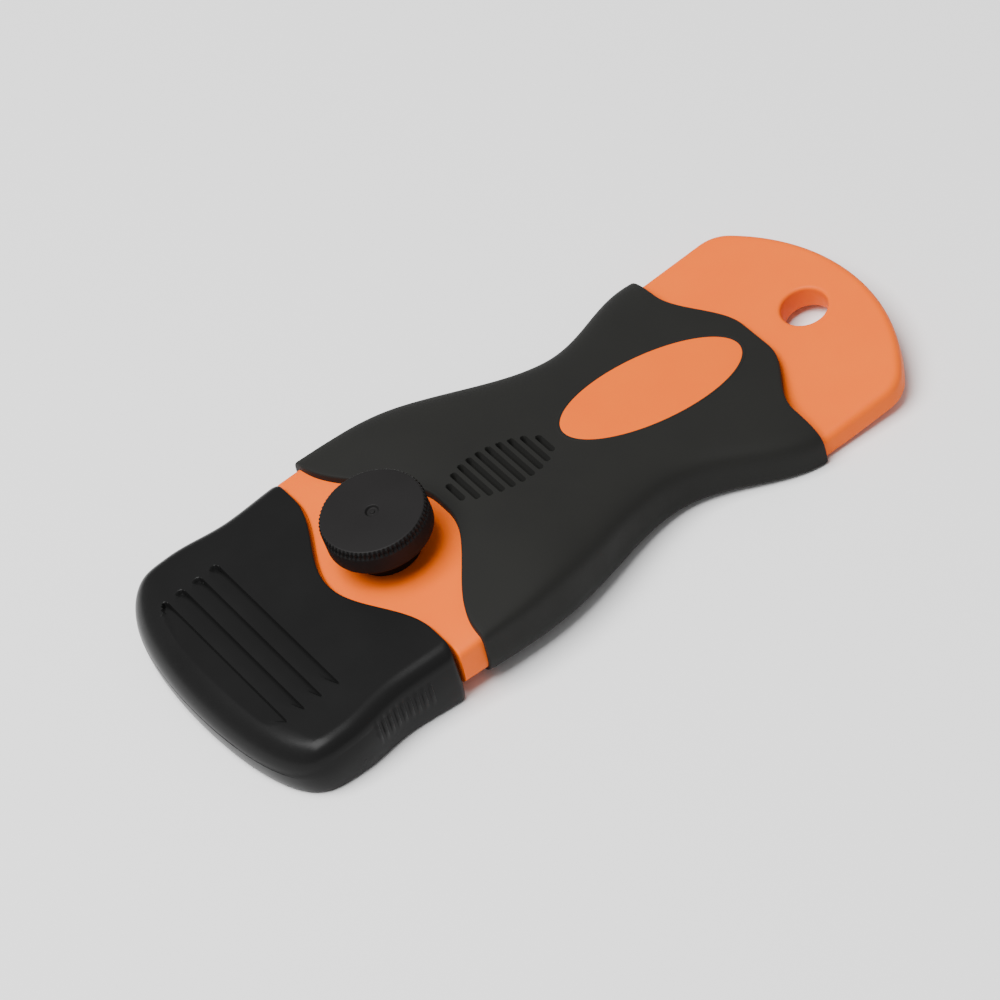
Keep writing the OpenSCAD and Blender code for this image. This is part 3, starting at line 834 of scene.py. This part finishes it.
    def tail_outline(self) -> tuple[Array, Array]:
        """Plan of the tail about the hole: an arced end, round corners, straight sides and a round root.

        Returns:
            The outline's points and its inward normals.
        """
        rise = math.radians(self.tail_rise)
        below_edge = self.tail_t - self.tail_edge_r
        end = (self.tail_x - self.hole_x - below_edge * math.sin(rise)) / math.cos(rise)
        start = (self.grip.waist_x - self.hole_x) / 2.0
        arc_u = end - self.tail_end_r
        corner_v = self.tail_w / 2.0 - self.tail_corner_r
        corner_u = arc_u + math.sqrt((self.tail_end_r - self.tail_corner_r) ** 2 - corner_v ** 2)
        meet = math.atan2(corner_v, corner_u - arc_u)
        a = np.linspace(0.0, meet, self.tail_arc_steps)
        b = np.linspace(meet, RIGHT_ANGLE, self.tail_corner_steps)[1:]
        c = np.linspace(RIGHT_ANGLE, np.pi, self.tail_corner_steps)[1:]
        side_u = np.linspace(corner_u, start, self.tail_side_steps)[1:]
        side_v = np.full_like(side_u, self.tail_w / 2.0)
        u = np.concatenate([arc_u + self.tail_end_r * np.cos(a), corner_u + self.tail_corner_r * np.cos(b),
                            side_u, start + self.tail_root * np.cos(c)])
        v = np.concatenate([self.tail_end_r * np.sin(a), corner_v + self.tail_corner_r * np.sin(b),
                            side_v, self.tail_w / 2.0 * np.sin(c)])
        outline = np.stack([np.concatenate([u, u[-2:0:-1]]), np.concatenate([v, -v[-2:0:-1]])], axis=-1)
        heading = np.roll(outline, -1, axis=0) - np.roll(outline, 1, axis=0)
        heading /= np.linalg.norm(heading, axis=-1, keepdims=True)
        return outline, np.stack([-heading[:, 1], heading[:, 0]], axis=-1)

    def tail(self) -> Array:
        """Ring round the hanging hole: a section from the bore over the top face and back underneath.

        Each column joins a point of the bore to the outline point at the same angle. Edges are quarter
        circles, and the underside is flattened where it would pass below its lift off the table.

        Returns:
            Points by place in the section and column.
        """
        outline, inward = self.tail_outline()
        angle = np.arctan2(outline[:, 1], outline[:, 0])
        out = np.stack([np.cos(angle), np.sin(angle)], axis=-1)[None]
        bore, soft, edge, t = self.hole_d / 2.0, self.hole_soft, self.tail_edge_r, self.tail_t
        q = quarter(True)[:, :, None]
        lip = out * (bore + soft * (1.0 - np.cos(q)))
        rim = outline[None] + inward[None] * edge * (1.0 - np.cos(q))
        face = mix(lip[-1:], rim[-1:], steps(self.tail_rows)[1:-1, :, None])
        sunk, rolled = -soft * (1.0 - np.sin(q[..., 0])), -edge * (1.0 - np.sin(q[..., 0]))
        flat = np.zeros((len(face), 1))
        plan = np.concatenate([lip, face, rim[::-1], rim, face[::-1], lip[::-1]])
        w = np.concatenate([sunk, flat, rolled[::-1], -t - rolled, flat - t, -t - sunk[::-1]])
        rise = math.radians(self.tail_rise)
        u, v = plan[..., 0], plan[..., 1]
        x = self.hole_x + u * math.cos(rise) - w * math.sin(rise)
        z = self.tail_h + u * math.sin(rise) + w * math.cos(rise)
        return points(x, v, np.maximum(z, self.tail_lift))

    def build(self) -> None:
        """Makes the core's visible parts as one piece."""
        shells = [Shell.of_grid(self.shoulder()), Shell.of_grid(self.upper_jaw()),
                  Shell.of_grid(self.window()), Shell.of_grid(self.tail(), ring=True)]
        build_piece("handle_core_moulding", shells, ORANGE_ABS.material(), Body.HANDLE, "handle_core")


@dataclass
class BladeCap:
    """Pull-off cap over the blade: rolled nose, finger slots, ribbed flanks and an open rear."""

    layout: Layout
    nose_x: float = -55.0
    wide_x: float = -43.8
    waist_x: float = -34.3
    wide_w: float = 45.4
    waist_w: float = 43.0
    rear_w: float = 43.6
    nose_square: float = 3.66
    crown_h: float = 8.3
    fall: float = 4.95
    part_h: float = 3.25
    side_r: float = 2.4
    side_draft: float = 0.3
    nose_r: float = 4.4
    rear_corner_r: float = 1.0
    corner_from: float = 0.86
    sole_r: float = 0.8
    edge_r: float = 0.3
    part_groove: float = 0.15
    part_gap: float = 0.22
    part_to: float = 0.93
    part_fade: float = 0.25
    hollow_x: float = -49.46
    hollow_half: float = 19.85
    hollow_floor: float = 1.3
    hollow_drop: float = 0.15
    rear_spread: tuple[float, float] = (0.9, 0.1)
    slot_n: int = 4
    slot_pitch: float = 2.78
    slot_w: float = 2.0
    slot_half: float = 15.0
    slot_depth: float = 0.45
    slot_first_w: float = 4.6
    slot_start: float = 6.35
    slot_curve: float = 1.5
    slot_wall: float = 0.14
    slot_end_run: float = 0.3
    slot_fade: float = 1.2
    slot_sweep: float = 3.9
    slot_end_r: float = 0.6
    slot_end_slope: float = 1.6
    slot_hook: float = 0.5
    slot_hook_run: float = 0.9
    slot_taper: float = 5.0
    slot_field: tuple[float, float] = (-50.7, -39.6)
    slot_ends: tuple[float, float] = (12.4, 15.4)
    field_lead: tuple[float, float] = (2.2, 0.5)
    lead_from: float = 0.72
    rib_n: int = 9
    rib_pitch: float = 1.1
    rib_x: float = -35.6
    rib_w: float = 0.6
    rib_h: float = 3.6
    rib_foot: float = 0.2
    rib_out: float = 0.2
    rib_from: float = 0.93
    rib_foot_fade: float = 0.25
    rib_top_fade: float = 1.4
    middle_columns: int = 24
    slot_end_columns: int = 26
    wall_columns: int = 10
    side_columns: int = 6
    roll_columns: int = 20
    draft_columns: int = 12
    curl_rows: int = 30
    ramp_reach: float = 0.93
    ramp_rows: int = 11
    wall_rows: int = 5
    wall_clear: float = 1.5
    rib_rows: int = 7
    rear_rows: int = 32
    row_decimals: int = 2
    hollow_rows: int = 14
    nose_steps: int = 1600
    flank_steps: int = 600
    search_block: int = 4000

    def half_w(self, x: Array) -> Array:
        """Half width of the flanks: eased from the widest place to the waist and on to the rear.

        Args:
            x: place along the scraper.

        Returns:
            The half width.
        """
        ahead = (x - self.wide_x) / (self.waist_x - self.wide_x)
        behind = (x - self.waist_x) / (self.layout.cap_rear_x - self.waist_x)
        return np.where(x < self.waist_x, mix(self.wide_w, self.waist_w, ease(ahead)),
                        mix(self.waist_w, self.rear_w, ease(behind))) / 2.0

    def corner(self, x: Array) -> Array:
        """How far the flank draws in round the rear corner, a quarter circle in plan.

        Args:
            x: place along the scraper.

        Returns:
            The distance.
        """
        r = self.rear_corner_r
        near = np.clip(x - self.layout.cap_rear_x + r, 0.0, r)
        return r - np.sqrt(r * r - near ** 2)

    def across(self, v: Array, x: Array) -> Array:
        """Place across at a share v of the half width."""
        return v * np.where(x < self.wide_x, self.wide_w / 2.0, self.half_w(x))

    def drawn_in(self, v: Array, x: Array) -> Array:
        """How far a column is moved in at the rear corner: fully at the flank, eased to nothing inside."""
        share = ease((np.abs(v) - self.corner_from) / (1.0 - self.corner_from))
        return np.sign(v) * self.corner(x) * share

    def nose(self, v: Array) -> Array:
        """Front of the cap at a share v of its half width, where v^2 + depth^nose_square = 1."""
        depth = np.maximum(1.0 - v ** 2, 0.0) ** (1.0 / self.nose_square)
        return self.wide_x - (self.wide_x - self.nose_x) * depth

    def crown(self, x: Array) -> Array:
        """Height of the top, which slopes down to the nose."""
        return self.crown_h + (x - self.wide_x) * math.tan(math.radians(self.fall))

    def outline(self) -> tuple[Array, Array, Array]:
        """Half of the plan outline, from the nose round to behind the rear edge.

        Returns:
            Points, outward normals and how far each faces forward, as a squared share.
        """
        a = np.linspace(0.0, RIGHT_ANGLE, self.nose_steps)
        flank = np.linspace(self.wide_x, self.layout.cap_rear_x + self.side_r, self.flank_steps)[1:]
        x = np.concatenate([self.nose(np.sin(a)), flank])
        y = np.concatenate([self.wide_w / 2.0 * np.sin(a), self.half_w(flank)])
        dx, dy = np.gradient(x), np.gradient(y)
        length = np.hypot(dx, dy)
        normal = np.stack([-dy / length, dx / length], axis=-1)
        forward = np.maximum(-normal[:, 0], 0.0)
        return np.stack([x, y], axis=-1), normal, forward ** 2

    def inset(self, x: Array, y: Array) -> tuple[Array, Array]:
        """Distance inside the plan outline and how far that side faces forward, by the nearest point.

        Args:
            x: place along the scraper.
            y: place across.

        Returns:
            The distance, measured along that point's normal, and the squared share.
        """
        place, normal, forward = self.outline()
        flat_x, flat_y = x.ravel(), np.abs(y).ravel()
        nearest = np.empty(flat_x.size, dtype=np.int64)
        for block in np.array_split(np.arange(flat_x.size), max(1, flat_x.size // self.search_block)):
            gap = (flat_x[block, None] - place[:, 0]) ** 2 + (flat_y[block, None] - place[:, 1]) ** 2
            nearest[block] = gap.argmin(axis=1)
        depth = ((place[nearest, 0] - flat_x) * normal[nearest, 0]
                 + (place[nearest, 1] - flat_y) * normal[nearest, 1])
        return np.maximum(depth, 0.0).reshape(x.shape), forward[nearest].reshape(x.shape)

    def rolled(self, depth: Array, forward: Array, top: Array) -> Array:
        """Height of the top by the distance inside the outline: a drafted wall, then a quarter ellipse.

        At the flanks the wall leans in by its draft and the ellipse is a small circle. Towards the nose
        the wall shrinks away and the ellipse grows to the nose's radius and the full height.

        Args:
            depth: distance inside the outline.
            forward: squared share by which the side faces forward.
            top: height of the top beyond the roll.

        Returns:
            The height.
        """
        full = top - self.part_h
        draft = np.maximum(mix(self.side_draft, 0.0, forward), TINY)
        wide, tall = mix(self.side_r, self.nose_r, forward), mix(self.side_r, full, forward)
        wall = (full - tall) * np.sqrt(np.clip(depth / draft, 0.0, 1.0))
        share = np.clip((depth - draft) / wide, 0.0, 1.0)
        return self.part_h + wall + tall * np.sqrt(1.0 - (1.0 - share) ** 2)

    def slotted(self, x: Array, y: Array, z: Array) -> Array:
        """Top with the finger slots cut in: each floor ramps down to an upright rear wall.

        The first ramp is the longest, and its far end sweeps back along a parabola, so its floor runs out
        through the nose's roll in a curve. The far ends of the others are round, and each far end is dug
        deeper by a hook that fades along the slot. The near ends run out to a point.

        Args:
            x: place along the scraper.
            y: place across.
            z: height of the uncut top.

        Returns:
            The height with the slots.
        """
        first = self.nose_x + self.slot_start
        i = np.clip(np.ceil((x - first - self.slot_wall) / self.slot_pitch), 0, self.slot_n - 1)
        ahead = first + i * self.slot_pitch - x
        ramp = np.where(i == 0, self.slot_first_w, self.slot_w)
        share = np.clip(1.0 - ahead / ramp, 0.0, 1.0)
        r = self.slot_end_r
        arc = np.sqrt(np.maximum(r ** 2 - (np.clip(ahead, 0.0, 2.0 * r) - r) ** 2, 0.0))
        round_end = self.slot_half - r + arc - self.slot_end_slope * np.maximum(ahead - 2.0 * r, 0.0)
        swept_end = self.slot_half * (1.0 - (np.maximum(ahead, 0.0) / self.slot_sweep) ** 2)
        first_end = np.where(ahead < r, np.minimum(round_end, swept_end), swept_end)
        far_end = np.where(i == 0, first_end, round_end)
        hook = np.exp(np.minimum(y - far_end, 0.0) / self.slot_hook_run)
        hook = hook * np.clip(1.0 - (ahead / (2.0 * r)) ** 2, 0.0, 1.0)
        ramp_drop = self.slot_depth * np.where(i == 0, share, share ** self.slot_curve)
        floor = self.crown(x) - ramp_drop - self.slot_hook * hook
        near_end = self.slot_half - self.slot_taper * np.clip(ahead / ramp, 0.0, 1.0)
        room = np.minimum(far_end - y, near_end + y)
        end_run = np.where(far_end - y < near_end + y, self.slot_end_run, self.slot_fade)
        cut = ease(room / end_run) * np.clip(1.0 + ahead / self.slot_wall, 0.0, 1.0)
        return mix(z, np.minimum(z, floor), cut)

    def ribs(self, x: Array, z: Array) -> Array:
        """How far the flank stands out in the upright ribs: round ridges that fade at their foot and top.

        Args:
            x: place along the scraper.
            z: height.

        Returns:
            The distance.
        """
        last = self.rib_n // 2
        i = np.clip(np.round((x - self.rib_x) / self.rib_pitch), -last, last)
        across = (x - self.rib_x - i * self.rib_pitch) / (self.rib_w / 2.0)
        ridge = np.sqrt(np.maximum(1.0 - across ** 2, 0.0))
        foot = self.part_h + self.rib_foot
        head = foot + self.rib_h - self.rib_top_fade
        upright = ease((z - foot) / self.rib_foot_fade) * (1.0 - ease((z - head) / self.rib_top_fade))
        return self.rib_out * ridge * upright

    def row_shares(self, start: float, stop: float) -> Array:
        """Shares of the rows between two places along the cap.

        Rows crowd ahead of each slot's rear wall with the square of the distance, stand several times on
        the wall and cross each rib at even angles.

        Args:
            start: where the stretch begins.
            stop: where it ends.

        Returns:
            Growing shares from 0 to 1 in a column.
        """
        walls = self.nose_x + self.slot_start + self.slot_pitch * np.arange(self.slot_n)[:, None]
        ramp = -self.ramp_reach * self.slot_pitch * np.linspace(1.0, 0.0, self.ramp_rows) ** 2
        wall = self.slot_wall * np.append(np.linspace(0.0, 1.0, self.wall_rows)[1:], self.wall_clear)
        ribs = self.rib_x + self.rib_pitch * (np.arange(self.rib_n)[:, None] - self.rib_n // 2)
        ridge = self.rib_w / 2.0 * np.sin(np.linspace(-RIGHT_ANGLE, RIGHT_ANGLE, self.rib_rows))
        behind = np.linspace(self.waist_x, self.layout.cap_rear_x, self.rear_rows)
        rows = np.concatenate([(walls + ramp).ravel(), (walls + wall).ravel(), (ribs + ridge).ravel(),
                               behind])
        rows = np.unique(np.round(rows[(rows > start) & (rows < stop)], self.row_decimals))
        return np.concatenate([[0.0], (rows - start) / (stop - start), [1.0]])[:, None]

    def columns(self) -> tuple[Array, Array]:
        """Columns across the cap, crowded at the slots' ends and on the roll at the flanks.

        The column at the hollow's wall stands twice, so that the quads between the two make the wall.

        Returns:
            The columns, as shares of the half width, and which of them lie in the hollow.
        """
        half = self.wide_w / 2.0
        ends_from, ends_to = self.slot_ends
        inside = np.concatenate([np.linspace(0.0, ends_from, self.middle_columns),
                                 np.linspace(ends_from, ends_to, self.slot_end_columns)[1:],
                                 np.linspace(ends_to, self.hollow_half, self.wall_columns)[1:]]) / half
        turn = 1.0 - np.cos(np.linspace(RIGHT_ANGLE, 0.0, self.roll_columns))
        draft = np.linspace(self.side_draft, 0.0, self.draft_columns)[1:]
        roll = 1.0 - np.concatenate([self.side_draft + self.side_r * turn, draft]) / half
        side = np.linspace(self.hollow_half / half, roll[0], self.side_columns)[:-1]
        outside = np.concatenate([side, roll])
        hollow = mirrored(np.concatenate([np.ones_like(inside), np.zeros_like(outside)])) != 0.0
        return mirrored(np.concatenate([inside, outside])), hollow

    def top_rows(self, v: Array) -> Array:
        """Places along the top: up the nose's curl, through the slots and the ribs and over the rear edge.

        Args:
            v: columns, as shares of the half width.

        Returns:
            Places by row and column.
        """
        nose, rear = self.nose(v), self.layout.cap_rear(v * self.rear_w / 2.0)
        start, stop = self.slot_field
        lead = mix(*self.field_lead, ease((np.abs(v) - self.lead_from) / (1.0 - self.lead_from)))
        field_from, field_to = np.maximum(start, nose + lead), np.full_like(v, stop)
        curl = 1.0 - np.cos(steps(self.curl_rows) * RIGHT_ANGLE)
        field_shares = self.row_shares(start, stop)[1:]
        rear_shares = self.row_shares(stop, self.layout.cap_rear_x - self.edge_r)[1:]
        return np.concatenate([mix(nose, field_from, curl), mix(field_from, field_to, field_shares),
                               mix(field_to, rear - self.edge_r, rear_shares),
                               rear - self.edge_r * (1.0 - np.cos(quarter(False)))])

    def rear_face(self, v: Array, hollow: Array, top: Array, sole: Array) -> Array:
        """Rows from the rear edge through the hollow, along its roof and back along its floor.

        Columns outside the hollow have these rows spread down the rear face.

        Args:
            v: columns, as shares of the half width.
            hollow: which of them lie in the hollow.
            top: points of the rear edge.
            sole: points below them.

        Returns:
            Points by row and column.
        """
        rear = top[:, 0]
        roof_x = mix(rear, np.full_like(v, self.hollow_x), steps(self.hollow_rows))
        roof_z = self.layout.deck_at(roof_x) - self.hollow_drop
        floor_z = np.full_like(roof_x, self.hollow_floor)
        shares = np.linspace(*self.rear_spread, 2 * self.hollow_rows)[:, None]
        face_z = mix(sole[:, 2], top[:, 2], shares)
        return points(np.where(hollow, np.concatenate([roof_x, roof_x[::-1]]), rear),
                      np.where(hollow, v * self.wide_w / 2.0, top[:, 1]),
                      np.where(hollow, np.concatenate([roof_z, floor_z]), face_z))

    def grid(self) -> Array:
        """Loops in the X-Z plane: over the top, down the rear, through the hollow and along the sole.

        Heights come from the distance inside the plan outline: above the parting line the top rolls over
        with its own radius, below it the sole rolls with a smaller one. The foremost row draws in to a fine
        groove at the parting line, which fades towards the flanks.

        Returns:
            Points by place in the loop and column.
        """
        v, hollow = self.columns()
        x_top = self.top_rows(v)
        y_top = self.across(v, x_top)
        depth, forward = self.inset(x_top, y_top)
        depth[0] = depth[:, 0] = depth[:, -1] = 0.0
        fall = np.zeros_like(x_top)
        fall[-ARC_STEPS:] = self.edge_r * (1.0 - np.sin(quarter(False)))
        uncut = self.rolled(depth, forward, self.crown(x_top))
        z_top = self.slotted(x_top, y_top, uncut) - np.minimum(fall, uncut - self.part_h)
        flank = (depth < self.side_r) & (np.abs(v) > self.rib_from)
        stand_out = np.sign(v) * np.where(flank, self.ribs(x_top, z_top), 0.0)
        y_top = y_top + stand_out - self.drawn_in(v, x_top)

        x_low, depth = x_top[::-1], depth[::-1]
        y_low = self.across(v, x_low) - self.drawn_in(v, x_low)
        z_low = self.part_h * (1.0 - np.sqrt(1.0 - (1.0 - np.minimum(depth / self.sole_r, 1.0)) ** 2))
        rear = self.rear_face(v, hollow, points(x_top, y_top, z_top)[-1], points(x_low, y_low, z_low)[0])

        groove = ease((self.part_to - np.abs(v)) / self.part_fade)
        z_top[0] += self.part_gap / 2.0 * groove
        z_low[-1] -= self.part_gap / 2.0 * groove
        seam = points((x_low[-1] + self.part_groove * groove)[None, :], y_low[-1:], self.part_h)
        return np.concatenate([points(x_top, y_top, z_top), rear, points(x_low, y_low, z_low), seam])

    def build(self) -> None:
        """Makes the cap."""
        build_piece("blade_cap_moulding", [Shell.of_grid(self.grid())], BLACK_ABS.material(), Body.CAP,
                    "blade_cap")


def rounded(corners: list[tuple[float, float, float]]) -> Array:
    """Open profile whose corners are rounded by parabolas tangent to both neighbours.

    Args:
        corners: radius from the axis, height and rounding of each corner; the ends aren't rounded.

    Returns:
        Points of the profile, radius and height.
    """
    profile = [np.array(corners[0][:2])[None]]
    for before, here, after in zip(corners, corners[1:], corners[2:]):
        p = np.array(here[:2])
        a, b = np.array(before[:2]) - p, np.array(after[:2]) - p
        a, b = a / np.linalg.norm(a), b / np.linalg.norm(b)
        t = steps(CORNER_STEPS)
        start, end = p + a * here[2], p + b * here[2]
        profile.append((1 - t) ** 2 * start + 2 * t * (1 - t) * p + t ** 2 * end)
    profile.append(np.array(corners[-1][:2])[None])
    return np.concatenate(profile)


@dataclass
class ClampKnob:
    """Knurled knob with its hub, and the threaded stud moulded into it."""

    layout: Layout
    knob_d: float = 14.7
    knob_h: float = 4.3
    hub_h: float = 3.6
    hub_d: float = 9.4
    seat: float = 0.05
    knurl_n: int = 72
    knurl_depth: float = 0.3
    knurl_band: float = 1.0
    knurl_power: float = 0.8
    knurl_steps: int = 12
    bevel: float = 0.35
    foot_bevel: float = 0.35
    hub_foot_r: float = 0.15
    neck_r: float = 0.2
    foot_r: float = 0.1
    rim_r: float = 0.12
    band_r: float = 0.02
    brow_r: float = 0.16
    dimple_d: float = 1.9
    dimple_depth: float = 0.35
    dimple_slope: float = 0.2
    dimple_r: float = 0.1
    pip_d: float = 0.7
    pip_h: float = 0.14
    pip_slope: float = 0.06
    pip_foot_r: float = 0.05
    pip_r: float = 0.03
    stud_d: float = 4.0
    stud_tip: float = 0.5
    stud_end: float = -7.855
    stud_root: float = 6.0
    thread_pitch: float = 0.7
    thread_depth: float = 0.36
    thread_flat: float = 0.1
    thread_rows: int = 120
    stud_steps: int = 48

    def knob(self) -> Array:
        """Profile turned about the screw's axis, the upper band of its rim cut in waves by the knurls.

        Returns:
            Points by angle and place in the profile.
        """
        r, hub, dimple, pip = self.knob_d / 2.0, self.hub_d / 2.0, self.dimple_d / 2.0, self.pip_d / 2.0
        top = self.hub_h + self.knob_h
        floor = top - self.dimple_depth
        band = top - self.bevel - self.knurl_band
        profile = rounded([
            (0.0, self.seat, 0.0), (hub, self.seat, self.hub_foot_r), (hub, self.hub_h, self.neck_r),
            (r - self.foot_bevel, self.hub_h, self.foot_r), (r, self.hub_h + self.foot_bevel, self.rim_r),
            (r, band, self.band_r), (r, band + self.bevel, self.band_r),
            (r, top - self.bevel, self.rim_r), (r - self.bevel, top, self.brow_r),
            (dimple, top, self.dimple_r), (dimple - self.dimple_slope, floor, self.dimple_r),
            (pip, floor, self.pip_foot_r), (pip - self.pip_slope, floor + self.pip_h, self.pip_r),
            (0.0, floor + self.pip_h, 0.0)])
        radius, height = profile[:, 0], profile[:, 1]
        angle = np.linspace(0.0, TURN, self.knurl_n * self.knurl_steps, endpoint=False)[:, None]
        tooth = ((1.0 - np.cos(self.knurl_n * angle)) / 2.0) ** self.knurl_power
        on_rim = ease((radius - r + self.bevel) / self.bevel) * ease((height - band) / self.bevel)
        cut = radius[None, :] - self.knurl_depth * tooth * on_rim[None, :]
        return self.layout.on_head(cut * np.cos(angle), cut * np.sin(angle), height[None, :])

    def stud(self) -> Array:
        """Screw thread: the radius falls and rises along each turn, its phase running with the angle.

        Returns:
            Points by angle and place along the stud.
        """
        angle = np.linspace(0.0, TURN, self.stud_steps, endpoint=False)[:, None]
        w = np.concatenate([[self.stud_end], np.linspace(self.stud_end, 0.0, self.thread_rows),
                            [0.0, self.stud_root, self.stud_root]])[None, :]
        phase = (w / self.thread_pitch - angle / TURN) % 1.0
        slope = 1.0 - 2.0 * self.thread_flat
        flank = np.clip((np.abs(2.0 * phase - 1.0) - self.thread_flat) / slope, 0.0, 1.0)
        tip = np.clip((w - self.stud_end) / self.stud_tip, 0.0, 1.0)
        radius = self.stud_d / 2.0 - np.where(w < 0.0, self.thread_depth * flank, 0.0)
        radius = np.minimum(radius, mix(self.stud_d / 2.0 - self.stud_tip, self.stud_d / 2.0, tip))
        radius[:, [0, -1]] = 0.0
        return self.layout.on_head(radius * np.cos(angle), radius * np.sin(angle), w)

    def build(self) -> None:
        """Makes the knob and its stud."""
        build_piece("clamp_knob_moulding", [Shell.of_grid(self.knob())], KNOB_ABS.material(), Body.KNOB,
                    "clamp_knob")
        build_piece("clamp_stud_thread", [Shell.of_grid(self.stud())], ZINC_PLATE.material(), Body.KNOB,
                    "clamp_stud")


@dataclass
class CadHardware:
    """CAD solids that show as they are, each with its own finish."""

    nodes: dict[str, bpy.types.Object]
    finishes: dict[str, MouldedFinish | GrainedMetal] = field(default_factory=lambda: {
        "clamp_jaw": ORANGE_ABS, "hex_nut": ZINC_PLATE, "razor_blade": GROUND_STEEL,
        "blade_spine": ROLLED_STRIP})

    def dress(self) -> None:
        """Puts each solid's finish into its material slots."""
        for name, finish in self.finishes.items():
            mesh = self.nodes[name].data
            mesh.materials.clear()
            mesh.materials.append(finish.material())
            log.info("%s: %s", name, finish.name)


@dataclass
class Studio:
    """Pale table, one soft box in a dim white surround, and the camera."""

    target: tuple[float, float, float] = (-4.83, 0.3, 5.0)
    azimuth: float = -114.97
    elevation: float = 44.62
    roll: float = 14.71
    distance: float = 661.7
    lens: float = 180.0
    sensor: float = 36.0
    clip: tuple[float, float] = (50.0, 10000.0)
    table_half: float = 1500.0
    table_colour: str = "#F4F4F4"
    table_roughness: float = 0.8
    surround_colour: str = "#FFFFFF"
    surround: float = 0.4
    key_place: tuple[float, float, float] = (-300.0, 20.0, 780.0)
    key_side: float = 600.0
    key_watts: float = 15.2

    def floor(self) -> None:
        """Lays a plain matte table under the scraper."""
        half = self.table_half * MM
        corners = [(-half, -half, 0.0), (half, -half, 0.0), (half, half, 0.0), (-half, half, 0.0)]
        mesh = bpy.data.meshes.new("table")
        mesh.from_pydata(corners, [], [(0, 1, 2, 3)])
        material = bpy.data.materials.new("white_table")
        material.use_nodes = True
        shader = material.node_tree.nodes["Principled BSDF"]
        shader.inputs["Base Color"].default_value = linear(self.table_colour)
        shader.inputs["Roughness"].default_value = self.table_roughness
        mesh.materials.append(material)
        table = bpy.data.objects.new("table", mesh)
        bpy.context.scene.collection.objects.link(table)

    def light(self) -> None:
        """Hangs one square soft box above the cap, facing the scraper, in a dim white surround."""
        world = bpy.data.worlds.new("studio")
        world.use_nodes = True
        background = world.node_tree.nodes["Background"]
        background.inputs["Color"].default_value = linear(self.surround_colour)
        background.inputs["Strength"].default_value = self.surround
        bpy.context.scene.world = world
        place = Vector(self.key_place) * MM
        light = bpy.data.lights.new("soft_box_above", "AREA")
        light.energy = self.key_watts
        light.size = self.key_side * MM
        lamp = bpy.data.objects.new("soft_box_above", light)
        lamp.location = place
        lamp.rotation_euler = (-place).to_track_quat("-Z", "Y").to_euler()
        bpy.context.scene.collection.objects.link(lamp)

    def camera(self) -> None:
        """Stands the camera on its azimuth and elevation, turned about its own axis by the roll."""
        az, el, roll = (math.radians(a) for a in (self.azimuth, self.elevation, self.roll))
        back = Vector((math.cos(el) * math.cos(az), math.cos(el) * math.sin(az), math.sin(el)))
        level = Vector((-math.sin(az), math.cos(az), 0.0))
        upright = back.cross(level)
        right = level * math.cos(roll) - upright * math.sin(roll)
        up = level * math.sin(roll) + upright * math.cos(roll)
        data = bpy.data.cameras.new("camera")
        data.lens = self.lens
        data.sensor_width = self.sensor
        data.clip_start, data.clip_end = (distance * MM for distance in self.clip)
        camera = bpy.data.objects.new("camera", data)
        place = (Vector(self.target) + back * self.distance) * MM
        turn = Matrix((right, up, back)).transposed().to_4x4()
        camera.matrix_world = Matrix.Translation(place) @ turn
        bpy.context.scene.collection.objects.link(camera)
        bpy.context.scene.camera = camera

    def build(self) -> None:
        """Sets up table, light and camera."""
        self.floor()
        self.light()
        self.camera()


def main() -> None:
    """Builds the pieces in order, then the studio."""
    logging.basicConfig(level=logging.INFO, format="%(name)s: %(message)s")
    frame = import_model()
    layout = Layout()
    grip = RubberGrip(layout)
    grip.build()
    HandleCore(layout, grip).build()
    BladeCap(layout).build()
    ClampKnob(layout).build()
    CadHardware(frame["nodes"]).dress()
    Studio().build()


if __name__ == "__main__":
    main()
